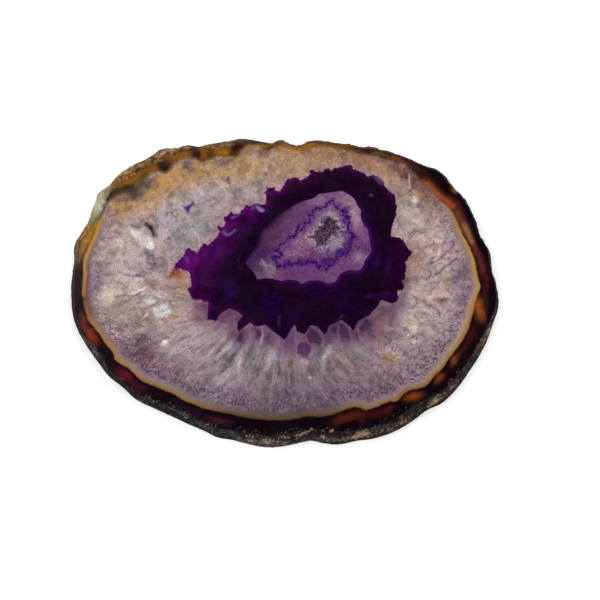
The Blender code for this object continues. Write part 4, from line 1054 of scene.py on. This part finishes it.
def unwrapStone(stone):
    # a flat map for textures: the polished face, the underside, then the rind in five strips
    layout = {
        "facePixels": 7.2,      # pixels of the map to the millimetre
        "underPixels": 4.0,
        "map": 1024, "margin": 8, "underRow": 650, "stripRow": 651, "stripLeft": 512,
        "stripWide": 495, "stripStep": 70, "stripUse": 0.8, "strips": 5,
        "pocket": 0.9,          # mm that the polished face may reach down
        "facing": 0.5,          # least upward part of its normals
    }
    points = readPoints(stone)
    mesh = stone.data
    mesh.uv_layers.new(name="OFBake")
    corners = fetch(mesh.loops, "vertex_index")
    starts = fetch(mesh.polygons, "loop_start")
    totals = fetch(mesh.polygons, "loop_total")
    upward = fetch(mesh.polygons, "normal", np.float32, 3).reshape(-1, 3)[:, 2]
    middles = np.add.reduceat(points[corners, 2], starts) / totals
    faceUp = np.repeat((middles > thickness - layout["pocket"]) & (upward > layout["facing"]), totals)
    faceDown = np.repeat(middles < hair, totals)
    wall = ~(faceUp | faceDown)
    at = points[corners]
    low = points[:, :2].min(axis=0)
    place = np.zeros((len(corners), 2))
    place[faceUp] = layout["margin"] + (at[faceUp, :2] - low) * layout["facePixels"]
    place[faceDown] = (at[faceDown, :2] - low) * layout["underPixels"]
    place[faceDown] += (layout["margin"], layout["underRow"])

    # a face of the wall goes whole into the strip in which it starts
    around = (np.arctan2(at[:, 1], at[:, 0]) / math.tau + 0.5) % 1.0
    least = np.repeat(np.minimum.reduceat(around, starts), totals)
    most = np.repeat(np.maximum.reduceat(around, starts), totals)
    wraps = most - least > 0.5
    around = np.where(wraps & (around < 0.5), around + 1, around)
    least = np.where(wraps, most, least)
    strip = np.minimum(np.floor(least * layout["strips"]), layout["strips"] - 1)
    along = around * layout["strips"] - strip
    up = strip + at[:, 2] / thickness * layout["stripUse"]
    place[wall, 0] = layout["stripLeft"] + along[wall] * layout["stripWide"]
    place[wall, 1] = layout["stripRow"] + up[wall] * layout["stripStep"]
    mesh.uv_layers["OFBake"].data.foreach_set("uv", (place / layout["map"]).astype(np.float32).ravel())


# material

class Bench:
    # short ways to add nodes, and each returns the socket to carry on from
    def __init__(self, tree):
        self.tree = tree

    def add(self, kind, inputs, **settings):
        node = self.tree.nodes.new("ShaderNode" + kind)
        for name, value in settings.items():
            setattr(node, name, value)
        for key, value in inputs.items():
            if isinstance(value, bpy.types.NodeSocket):
                self.tree.links.new(value, node.inputs[key])
            else:
                node.inputs[key].default_value = value
        return node

    def read(self, name, output="Fac"):
        return self.add("Attribute", {}, attribute_name=name).outputs[output]

    def calc(self, operation, *values):
        return self.add("Math", dict(enumerate(values)), operation=operation).outputs[0]

    def times(self, first, *others):
        for other in others:
            first = self.calc("MULTIPLY", first, other)
        return first

    def plus(self, first, *others):
        for other in others:
            first = self.calc("ADD", first, other)
        return first

    def step(self, value, low, high, start=0.0, end=1.0):
        # runs smoothly from start to end while the value goes from low to high
        return self.add("MapRange", {"Value": value, "From Min": low, "From Max": high,
                                     "To Min": start, "To Max": end},
                        interpolation_type="SMOOTHSTEP").outputs[0]

    def bump(self, value, low, peak, high):
        # 0 outside low to high, 1 at the peak
        return self.times(self.step(value, low, peak), self.step(value, peak, high, 1.0, 0.0))

    def mix(self, amount, under, over):
        return self.add("Mix", {0: amount, 6: under, 7: over}, data_type="RGBA").outputs[2]

    def between(self, amount, under, over):
        # mixes two numbers
        return self.add("Mix", {0: amount, 2: under, 3: over}).outputs[0]

    def tint(self, colour, name, *amounts):
        # a named tone laid over a colour, where the amounts say
        tone, strength = tones[name]
        return self.mix(self.times(*amounts, strength), colour, ink(tone))

    def toneMix(self, amount, under, over):
        # a colour between two named tones
        return self.mix(amount, ink(tones[under][0]), ink(tones[over][0]))

    def shade(self, colour, value):
        # multiplies a colour by a number or by three
        if isinstance(value, tuple):
            return self.add("VectorMath", {0: colour, 1: value}, operation="MULTIPLY").outputs[0]
        return self.add("VectorMath", {0: colour, "Scale": value}, operation="SCALE").outputs[0]

    def sized(self, place, name):
        # pattern coordinates in cells of the named size
        sizes = grainSize[name]
        sizes = sizes if isinstance(sizes, tuple) else (sizes,) * 3
        return self.shade(place, tuple(1 / size for size in sizes))

    def moved(self, place, push, amount):
        # coordinates pushed about by a noise colour
        centred = self.add("VectorMath", {0: push, 1: (0.5, 0.5, 0.5)}, operation="SUBTRACT").outputs[0]
        return self.add("VectorMath", {0: centred, 1: (amount,) * 3, 2: place},
                        operation="MULTIPLY_ADD").outputs[0]

    def grain(self, place, detail=2.0, rough=0.5, output=0):
        return self.add("TexNoise", {"Vector": place, "Scale": 1.0, "Detail": detail,
                                     "Roughness": rough}).outputs[output]

    def cells(self, place, feature="F1", output="Color"):
        return self.add("TexVoronoi", {"Vector": place, "Scale": 1.0}, feature=feature).outputs[output]

    def edges(self, place):
        # how far the nearest border between cells is
        return self.cells(place, "DISTANCE_TO_EDGE", "Distance")

    def channel(self, colour, which=0):
        return self.add("SeparateColor", {0: colour}).outputs[which]


stoneLook = {
    "faceRoughness": 0.18,
    "faceGloss": 0.35,
    "rindGloss": 0.08,
    "druseRoughness": 0.55,
    "rindRoughness": 0.85,
    "bumpDepth": 0.00016,      # m
    "edgeSoftness": 0.09,      # mm, of the drawn lines
    "sharpEdge": 40,           # degrees, steeper edges stay crisp
}


tones = {      # screen tones from 0 to 255, and how strongly each is laid
    # the near-white tone laid as bright specks on the quartz is a painted highlight
    "seam": ((100, 82, 104), 0.45), "paintedGlint": ((226, 218, 208), 0.9), "fleck": ((92, 68, 106), 0.75),
    "vein": ((90, 66, 102), 0.85), "fineVein": ((80, 60, 88), 0.7), "dyeSpeck": ((72, 53, 82), 0.9),
    "rimCrumb": ((54, 24, 22), 0.85), "magenta": ((84, 4, 88), 1.0), "fringe": ((110, 50, 110), 1.0),
    "contour": ((62, 8, 88), 0.75), "outerContour": ((58, 8, 80), 0.18),
    "halo": ((88, 36, 118), 0.85), "haloNet": ((50, 14, 80), 0.7), "zigzag": ((46, 8, 82), 1.0),
    "collar": ((178, 162, 176), 1.0), "collarNet": ((84, 60, 82), 0.45),
    "pocketNet": ((18, 4, 14), 0.85), "pocketRim": ((34, 14, 26), 0.75),
    # the darkest rind tone is painted shade, laid in the pits of the bump
    "dust": ((124, 108, 100), 1.0), "pitShade": ((16, 8, 12), 1.0), "rindSpeck": ((50, 20, 18), 0.9),
    "pocketDark": ((40, 18, 30), 1.0), "pocketPale": ((112, 78, 100), 1.0),
    "sandDark": ((122, 102, 82), 1.0), "sandPale": ((178, 156, 124), 1.0),
}

grainSize = {      # mm, of the fine patterns, and those of long grains have their length last
    # quartz
    "push": 1.8, "coarse": (3.2, 3.2, 7.0), "medium": (1.5, 1.5, 2.8), "fine": 0.85,
    "blade": (0.85, 0.85, 5.0), "milk": (3.0, 3.0, 4.6), "sugar": 0.6, "patch": 1.6,
    # the smallest quartz size here is that of the painted highlight specks
    "paintedGlint": (0.42, 0.42, 0.6), "fleck": 0.8, "veinPush": 1.3, "vein": (3.1, 1.9, 3.0),
    "gate": 1.2, "fineVein": 1.05, "dyeSpeck": (0.52, 0.52, 0.9),
    # rim and the borders between the parts
    "rimBands": 0.45, "rimMottle": 0.9, "rimCrumb": 0.42, "goldWobble": 0.9, "teeth": 0.6, "ripple": 2.6,
    # purple crystals
    "purplePush": 2.4, "facet": 2.3, "smallFacet": 0.9, "ringDrift": 3.4,
    # window and its pocket
    "windowMottle": 0.7, "windowCloud": 2.2, "windowSugar": 0.5, "lineWobble": 0.8, "haloPatch": 1.5,
    "cellPush": 0.9, "haloCell": 1.1, "fineWobble": 0.7, "pocketSeed": 0.6, "pocketShade": 1.0,
    # rind, and the polish
    "skinLump": (1.4, 1.4, 4.0), "grit": (0.6, 0.6, 2.2), "rindSpeck": (1.0, 1.0, 3.0), "smear": 6.0,
}


def crystalLook(bench, place, flow, purple):
    # the quartz: coarse crystals that run inward, broken into grains, with dyed seams and specks
    paint = bench.read("quartzPaint", "Color")
    veins = bench.read("veins")
    rays = bench.read("rays")
    band = bench.read("band")
    specks = bench.read("specks")
    push = bench.grain(bench.sized(place, "push"), 2.0, 0.5, output=1)
    bent = bench.moved(flow, push, 1.7)
    loose = bench.moved(place, push, 0.8)
    coarse = bench.cells(bench.sized(bent, "coarse"))
    medium = bench.cells(bench.sized(bent, "medium"))
    fine = bench.cells(bench.sized(loose, "fine"))
    blade = bench.cells(bench.sized(bench.moved(flow, push, 0.7), "blade"))
    milk = bench.grain(bench.sized(bent, "milk"), 4.0, 0.65)
    sugar = bench.grain(bench.sized(loose, "sugar"), 3.0, 0.7)
    calm = bench.calc("MULTIPLY_ADD", veins, -0.85, 1.0)
    tips = bench.times(bench.step(purple, -8.0, -5.0), bench.read("bleed"))
    tone = bench.plus(bench.step(bench.channel(fine), 0, 1, -0.12, 0.12),
                      bench.step(sugar, 0.3, 0.7, -0.13, 0.13))
    tone = bench.plus(bench.times(tone, calm),
                      bench.step(bench.channel(coarse), 0, 1, -0.12, 0.14),
                      bench.step(bench.channel(medium), 0, 1, -0.18, 0.18),
                      bench.step(milk, 0.3, 0.7, -0.17, 0.20),
                      bench.times(rays, bench.step(bench.channel(blade), 0, 1, -0.22, 0.26)))
    tone = bench.times(tone, bench.calc("MULTIPLY_ADD", tips, -0.55, 1.0))
    tone = bench.plus(tone, bench.calc("MULTIPLY_ADD", veins, 0.10, 1.0))
    colour = bench.shade(paint, tone)

    # warm, violet and grey-green grains among the others
    warm = bench.times(bench.step(bench.channel(medium, 1), 0.55, 0.95), 0.4)
    colour = bench.mix(warm, colour, bench.shade(colour, (1.07, 0.98, 0.88)))
    cold = bench.times(bench.step(bench.channel(medium, 2), 0.62, 0.95), band, calm)
    colour = bench.mix(cold, colour, bench.shade(colour, (0.91, 0.87, 0.97)))
    clear = bench.times(bench.step(bench.channel(coarse, 1), 0.62, 0.85), 0.5, rays)
    colour = bench.mix(clear, colour, bench.shade(colour, (0.76, 0.80, 0.78)))

    # thin borders of the long crystals, pale in some places and dark in others
    seam = bench.step(bench.edges(bench.sized(bent, "medium")), 0.0, 0.07, 1, 0)
    patchy = bench.grain(bench.sized(place, "patch"), 3.0)
    pale = bench.times(seam, bench.step(patchy, 0.50, 0.58), 0.6)
    colour = bench.mix(pale, colour, bench.shade(colour, (1.40, 1.40, 1.38)))
    colour = bench.tint(colour, "seam", seam, calm, bench.step(patchy, 0.42, 0.50, 1, 0))

    # small bright specks of painted highlight, and short dark flecks
    paintedGlint = bench.grain(bench.sized(bench.moved(place, push, 0.5), "paintedGlint"), 2.0, 0.6)
    paintedGlint = bench.times(bench.step(paintedGlint, 0.60, 0.67), bench.step(milk, 0.42, 0.54), bench.read("paintedGlints"))
    colour = bench.tint(colour, "paintedGlint", paintedGlint)
    fleck = bench.grain(bench.sized(bench.moved(place, push, 1.6), "fleck"), 3.0, 0.6)
    fleck = bench.calc("ABSOLUTE", bench.calc("SUBTRACT", fleck, 0.5))
    fleck = bench.times(bench.step(fleck, 0.006, 0.028, 1, 0), bench.step(patchy, 0.48, 0.58))
    colour = bench.tint(colour, "fleck", fleck, calm)

    # dyed seams, a net of thin violet lines round the grains, finer towards the rim
    veinPush = bench.grain(bench.sized(place, "veinPush"), 2.0, 0.5, output=1)
    veinPlace = bench.moved(place, veinPush, 1.1)
    turned = bench.add("VectorRotate", {"Vector": veinPlace, "Angle": math.radians(-28)},
                       rotation_type="Z_AXIS").outputs[0]
    net = bench.edges(bench.sized(turned, "vein"))
    gate = bench.grain(bench.sized(place, "gate"), 3.0, 0.6)
    vein = bench.times(bench.step(net, 0.01, 0.07, 1, 0), bench.step(gate, 0.41, 0.54), veins)
    colour = bench.tint(colour, "vein", vein)
    fineNet = bench.edges(bench.sized(veinPlace, "fineVein"))
    fineVein = bench.times(bench.step(fineNet, 0.03, 0.15, 1, 0), bench.step(gate, 0.46, 0.56))
    nearRim = bench.calc("MINIMUM", bench.times(specks, 1.6), 1.0)
    colour = bench.tint(colour, "fineVein", fineVein, nearRim)

    # specks of dye in the fine grain next to the rim
    speck = bench.grain(bench.sized(bench.moved(flow, push, 1.0), "dyeSpeck"), 3.0, 0.7)
    speck = bench.times(bench.step(speck, 0.50, 0.57), bench.step(gate, 0.30, 0.50, 0.5, 1.0), specks)
    colour = bench.tint(colour, "dyeSpeck", speck)

    # the dye has bled a little into the crystals beside the purple
    bleed = bench.times(bench.step(purple, -6.0, -0.4), bench.read("bleed"))
    return bench.mix(bleed, colour, bench.shade(colour, (0.50, 0.36, 0.54)))


def rimLook(bench, place, gold):
    # the dark rim with its glowing bands, and crumbs of rind along its outer edge
    across = bench.add("CombineXYZ", {0: gold}).outputs[0]
    bands = bench.grain(bench.sized(across, "rimBands"), 3.0, 0.6)
    mottle = bench.grain(bench.sized(place, "rimMottle"), 4.0, 0.65)
    honey = bench.read("honey")
    tone = bench.plus(bench.step(bands, 0.3, 0.7, 0.75, 1.25), bench.step(mottle, 0.3, 0.7, -0.2, 0.2))
    colour = bench.shade(bench.read("rimPaint", "Color"), tone)
    spot = bench.grain(bench.sized(place, "rimCrumb"), 3.0, 0.7)
    spot = bench.times(bench.step(spot, 0.56, 0.64), bench.step(mottle, 0.46, 0.58))
    near = bench.step(bench.read("rimGap"), 0.6, 2.4, 1.0, 0.1)
    spot = bench.times(spot, near, honey)
    colour = bench.tint(colour, "rimCrumb", spot)
    reach = bench.times(bench.step(mottle, 0.35, 0.75, 0.0, 1.3), bench.read("crust"))
    edge = bench.calc("SUBTRACT", bench.read("rimGap"), reach)
    skin, lumps = rindLook(bench, place)
    return bench.mix(bench.step(edge, -0.12, 0.05, 0.9, 0.0), colour, skin), skin, lumps


def purpleLook(bench, place, purple, window):
    # dyed crystals: bright magenta where thin at the edge, nearly black inside, with faint rings
    paint = bench.read("purplePaint", "Color")
    push = bench.grain(bench.sized(place, "purplePush"), 3.0, 0.6, output=1)
    facet = bench.channel(bench.cells(bench.sized(bench.moved(place, push, 1.5), "facet")))
    small = bench.channel(bench.cells(bench.sized(bench.moved(place, push, 0.8), "smallFacet")))
    drift = bench.step(bench.grain(bench.sized(place, "ringDrift"), 2.0), 0.2, 0.8, -1.0, 1.0)
    ringPlace = bench.plus(window, drift)
    rings = bench.calc("SINE", bench.times(ringPlace, 5.2))
    thinRings = bench.calc("SINE", bench.times(ringPlace, 12.6))
    tone = bench.plus(bench.step(facet, 0, 1, 0.78, 1.22), bench.step(small, 0, 1, -0.10, 0.10))
    tone = bench.plus(tone, bench.times(rings, 0.14), bench.times(thinRings, 0.16))
    colour = bench.shade(paint, tone)
    magenta = bench.read("magenta")
    glow = bench.times(bench.step(purple, 0.1, 2.1, 1, 0), magenta, bench.step(facet, 0.0, 1.0, 0.3, 0.9))
    colour = bench.tint(colour, "magenta", glow)
    fringe = bench.times(bench.step(purple, 0.0, 0.3, 1, 0), bench.step(small, 0.2, 0.8, 0.1, 0.6))
    fringe = bench.times(fringe, bench.calc("MULTIPLY_ADD", magenta, 0.7, 0.3))
    return bench.tint(colour, "fringe", fringe)


def windowLook(bench, place, window, zigzag, druse):
    # the lavender middle, its wandering line and the pocket of crystals
    paint = bench.read("windowPaint", "Color")
    mottle = bench.grain(bench.sized(place, "windowMottle"), 5.0, 0.7)
    cloud = bench.grain(bench.sized(place, "windowCloud"), 3.0, 0.6)
    sugar = bench.channel(bench.cells(bench.sized(place, "windowSugar")))
    tone = bench.plus(bench.step(mottle, 0.3, 0.7, 0.74, 1.26), bench.step(cloud, 0.3, 0.7, -0.14, 0.14))
    inside = bench.step(zigzag, -0.2, 0.4, 0.4, 1.0)
    tone = bench.plus(tone, bench.times(inside, bench.step(sugar, 0, 1, -0.26, 0.26)))
    colour = bench.shade(paint, bench.times(tone, 0.92))

    # violet cells hang on both sides of the line
    wobble = bench.step(bench.grain(bench.sized(place, "lineWobble"), 3.0, 0.7), 0.2, 0.8, -0.6, 0.6)
    strip = bench.plus(zigzag, wobble)
    halo = bench.times(bench.step(strip, -1.1, -0.5), bench.step(strip, 0.7, 1.3, 1, 0))
    patchy = bench.step(bench.grain(bench.sized(place, "haloPatch"), 2.0), 0.40, 0.58)
    halo = bench.times(halo, bench.read("cells"), bench.calc("MULTIPLY_ADD", patchy, 0.7, 0.3))
    cellPlace = bench.moved(place, bench.grain(bench.sized(place, "cellPush"), 1.0, 0.5, output=1), 0.5)
    cellEdge = bench.edges(bench.sized(cellPlace, "haloCell"))
    colour = bench.tint(colour, "halo", halo)
    net = bench.times(halo, bench.step(cellEdge, 0.03, 0.14, 1, 0))
    colour = bench.tint(colour, "haloNet", net)
    fineWobble = bench.step(bench.grain(bench.sized(place, "fineWobble"), 0.0), 0.2, 0.8, -0.34, 0.34)
    thin = bench.calc("ABSOLUTE", bench.plus(zigzag, fineWobble))
    colour = bench.tint(colour, "zigzag", bench.step(thin, 0.10, 0.46, 0.96, 0.0))

    # the pocket, with pale crystals outlined in brown round it
    ragged = bench.plus(druse, wobble)
    seeds = bench.edges(bench.sized(cellPlace, "pocketSeed"))
    outline = bench.step(seeds, 0.03, 0.16, 1, 0)
    collar = bench.bump(ragged, -2.0, -0.6, 0.1)
    colour = bench.tint(colour, "collar", collar, bench.step(sugar, 0.2, 0.7, 0.0, 0.75))
    colour = bench.tint(colour, "collarNet", collar, outline)
    shades = bench.grain(bench.sized(place, "pocketShade"), 3.0, 0.6)
    pocket = bench.toneMix(bench.step(shades, 0.38, 0.60), "pocketDark", "pocketPale")
    pocket = bench.tint(pocket, "pocketNet", outline)
    colour = bench.mix(bench.step(ragged, -0.05, 0.25, 0, 1), colour, pocket)
    rimOfPocket = bench.bump(ragged, -0.35, 0.0, 0.3)
    return bench.tint(colour, "pocketRim", rimOfPocket)


def rindLook(bench, place):
    # the natural skin: dull, pitted, nearly black with sandy crumbs, or tan with dark specks, with painted
    # shade in its hollows and painted light on its lumps
    paint = bench.read("rindPaint", "Color")
    honey = bench.read("honey")
    rough = bench.calc("SUBTRACT", 1.0, bench.read("smooth"))
    lumps = bench.grain(bench.sized(place, "skinLump"), 4.0, 0.65)
    lumps = bench.calc("MULTIPLY_ADD", bench.calc("SUBTRACT", lumps, 0.5), rough, 0.5)
    grit = bench.grain(bench.sized(place, "grit"), 3.0, 0.7)
    grit = bench.calc("MULTIPLY_ADD", bench.calc("SUBTRACT", grit, 0.5), rough, 0.5)
    # the skin's tone follows its bump, darker in the hollows and lighter on the lumps: painted shade and
    # light of the relief, along with the skin's own mottling
    colour = bench.shade(paint, bench.step(lumps, 0.32, 0.68, 0.4, 1.6))
    dusty = bench.times(bench.step(grit, 0.54, 0.62), bench.calc("MULTIPLY_ADD", honey, -0.5, 0.75))
    colour = bench.tint(colour, "dust", dusty, bench.step(lumps, 0.45, 0.62))
    # near-black where the grit is low, which is also low in the bump: painted shade in the pits, over the
    # skin's own dark tone
    pits = bench.times(bench.step(grit, 0.38, 0.48, 1, 0), bench.calc("MULTIPLY_ADD", honey, -0.55, 0.95))
    colour = bench.tint(colour, "pitShade", pits)
    speck = bench.grain(bench.sized(place, "rindSpeck"), 4.0, 0.7)
    speck = bench.times(bench.step(speck, 0.50, 0.57), honey)
    colour = bench.tint(colour, "rindSpeck", speck)
    sand = bench.calc("MULTIPLY_ADD", bench.read("crumbs"), 0.16, grit)
    sand = bench.times(bench.step(sand, 0.60, 0.72), bench.step(bench.read("crumbs"), 0.1, 0.6))
    sandy = bench.toneMix(bench.step(lumps, 0.4, 0.6), "sandDark", "sandPale")
    colour = bench.mix(bench.times(sand, 0.7), colour, sandy)
    return colour, bench.plus(lumps, bench.times(grit, 0.5))


def agateMaterial():
    material = bpy.data.materials.new("polished agate")
    material.use_nodes = True
    tree = material.node_tree
    shader = tree.nodes["Principled BSDF"]
    bench = Bench(tree)
    coords = bench.add("TexCoord", {}).outputs["Object"]
    place = bench.shade(coords, 1 / mm)
    flow = bench.read("flow", "Vector")
    soft = stoneLook["edgeSoftness"]

    wobble = bench.step(bench.grain(bench.sized(place, "goldWobble"), 2.0, 0.6), 0.2, 0.8, -0.10, 0.10)
    gold = bench.plus(bench.read("goldGap"), wobble)
    teeth = bench.step(bench.grain(bench.sized(place, "teeth"), 2.0, 0.6), 0.25, 0.75, -0.24, 0.24)
    jagged = bench.calc("MULTIPLY_ADD", bench.read("bleed"), -1.1, 1.1)
    purple = bench.plus(bench.read("purpleGap"), bench.times(teeth, jagged))
    window = bench.read("windowGap")
    zigzag = bench.read("zigzagGap")
    druse = bench.read("druseGap")

    colour, skin, lumps = rimLook(bench, place, gold)
    quartz = crystalLook(bench, place, flow, purple)
    band = bench.read("band")
    ripple = bench.step(bench.grain(bench.sized(place, "ripple"), 2.0), 0.2, 0.8, -0.18, 0.18)
    banding = bench.plus(bench.read("goldGap"), ripple)
    milky = bench.times(bench.step(banding, 1.3, 3.1, 0.92, 0), band)
    quartz = bench.mix(milky, quartz, bench.read("milkPaint", "Color"))
    golden = bench.times(bench.step(banding, 0.45, 1.4, 1, 0), band)
    quartz = bench.mix(golden, quartz, bench.read("bandPaint", "Color"))
    quartz = bench.mix(bench.step(gold, 0.0, 0.42, 0.5, 0), quartz, bench.read("rimPaint", "Color"))
    edgeWidth = bench.calc("MULTIPLY_ADD", band, -0.75, 0.75 + soft * 2)
    edge = bench.calc("DIVIDE", gold, edgeWidth)
    colour = bench.mix(bench.step(edge, -1.1, 0.9), colour, quartz)

    dyed = purpleLook(bench, place, purple, window)
    colour = bench.mix(bench.step(purple, -soft, soft), colour, dyed)
    contour = bench.times(bench.bump(window, -1.5, -0.45, 0.05), bench.read("contour"))
    colour = bench.tint(colour, "contour", contour)
    outer = bench.times(bench.bump(bench.plus(window, ripple), -3.1, -2.2, -1.5), bench.read("contour"))
    colour = bench.tint(colour, "outerContour", outer)
    middle = windowLook(bench, place, window, zigzag, druse)
    blur = bench.plus(bench.read("blur"), soft)
    fade = bench.calc("DIVIDE", bench.plus(window, bench.times(blur, 0.35)), blur)
    colour = bench.mix(bench.step(fade, -1.0, 1.0), colour, middle)

    rind = bench.step(bench.read("rind"), 0.25, 0.75)
    colour = bench.mix(rind, colour, skin)
    tree.links.new(colour, shader.inputs["Base Color"])

    smear = bench.step(bench.grain(bench.sized(place, "smear"), 4.0, 0.6), 0.3, 0.7, -0.04, 0.04)
    rough = bench.plus(smear, stoneLook["faceRoughness"])
    inDruse = bench.step(druse, -0.1, 0.3)
    rough = bench.between(inDruse, rough, stoneLook["druseRoughness"])
    rough = bench.between(rind, rough, stoneLook["rindRoughness"])
    tree.links.new(rough, shader.inputs["Roughness"])
    dull = bench.calc("MAXIMUM", rind, inDruse)
    gloss = bench.between(dull, stoneLook["faceGloss"], stoneLook["rindGloss"])
    tree.links.new(gloss, shader.inputs["Specular IOR Level"])
    height = bench.between(rind, 0.0, lumps)
    bump = bench.add("Bump", {"Strength": 1.0, "Distance": stoneLook["bumpDepth"], "Height": height})
    tree.links.new(bump.outputs[0], shader.inputs["Normal"])
    return material


def floorMaterial():
    material = bpy.data.materials.new("pale floor")
    material.use_nodes = True
    bench = Bench(material.node_tree)
    shader = material.node_tree.nodes["Principled BSDF"]
    coords = bench.add("TexCoord", {}).outputs["Object"]
    grain = bench.grain(bench.shade(coords, 20.0), 4.0, 0.6)      # 20 grains to the metre
    colour = bench.mix(grain, (0.91, 0.91, 0.91, 1), (0.94, 0.94, 0.94, 1))
    material.node_tree.links.new(colour, shader.inputs["Base Color"])
    shader.inputs["Roughness"].default_value = 0.8
    shader.inputs["Specular IOR Level"].default_value = 0.2
    return material


# studio

studio = {
    "target": (0.00443, -0.00434, 0.006),    # m, what the camera looks at
    "distance": 0.40476,
    "elevation": 78,
    "lens": 85,
    "floorSize": 6.0,
    "sky": 1.0,
    "zenith": 0.005,
    "lamps": [      # name, watts, size, place
        ("key lamp", 5.3, 0.8, (-0.62, 0.22, 0.75)),
        ("fill lamp", 4.4, 0.8, (0.66, -0.20, 0.70)),
        ("back lamp", 4.2, 0.7, (0.15, 0.85, 0.58)),
        ("front lamp", 2.4, 0.8, (-0.10, -0.75, 0.66)),
    ],
}


def addFloor():
    bpy.ops.mesh.primitive_plane_add(size=studio["floorSize"], location=(0, 0, -0.00002))
    floor = bpy.context.object
    floor.name = "floor"
    bpy.ops.object.transform_apply(location=True, rotation=True, scale=True)
    floor.data.materials.append(floorMaterial())


def addCamera():
    lens = bpy.data.cameras.new("camera")
    camera = bpy.data.objects.new("camera", lens)
    bpy.context.scene.collection.objects.link(camera)
    lens.lens = studio["lens"]
    lens.sensor_width = 36
    lens.clip_start = 0.01
    tilt = math.radians(studio["elevation"])
    back = Vector((0, -math.cos(tilt), math.sin(tilt)))
    camera.location = Vector(studio["target"]) + back * studio["distance"]
    camera.rotation_euler = (math.radians(90) - tilt, 0, 0)
    bpy.context.scene.camera = camera


def addLights():
    for name, watts, size, place in studio["lamps"]:
        lamp = bpy.data.lights.new(name, "AREA")
        lamp.energy = watts
        lamp.size = size
        holder = bpy.data.objects.new(name, lamp)
        bpy.context.scene.collection.objects.link(holder)
        holder.location = place
        holder.rotation_euler = (-Vector(place)).to_track_quat("-Z", "Y").to_euler()

    world = bpy.data.worlds.new("soft studio")
    world.use_nodes = True
    bpy.context.scene.world = world
    bench = Bench(world.node_tree)
    coords = bench.add("TexCoord", {}).outputs["Generated"]
    up = bench.add("SeparateXYZ", {0: coords}).outputs[2]
    strength = bench.step(up, 0.66, 0.92, studio["sky"], studio["zenith"])
    background = world.node_tree.nodes["Background"]
    world.node_tree.links.new(strength, background.inputs["Strength"])
    background.inputs["Color"].default_value = (1, 1, 1, 1)


bpy.context.scene.view_settings.view_transform = "Standard"
stone, faceEdge, footEdge = makeStone()
druse = paintStone(stone, faceEdge, footEdge)
sinkDruse(stone, druse)
unwrapStone(stone)
takeOnly(stone)
bpy.ops.object.shade_smooth_by_angle(angle=math.radians(stoneLook["sharpEdge"]))
stone.data.materials.clear()
stone.data.materials.append(agateMaterial())
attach(stone, "root")
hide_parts("agate_slice")
print("stone finished")

addFloor()
addCamera()
addLights()
print("studio ready")
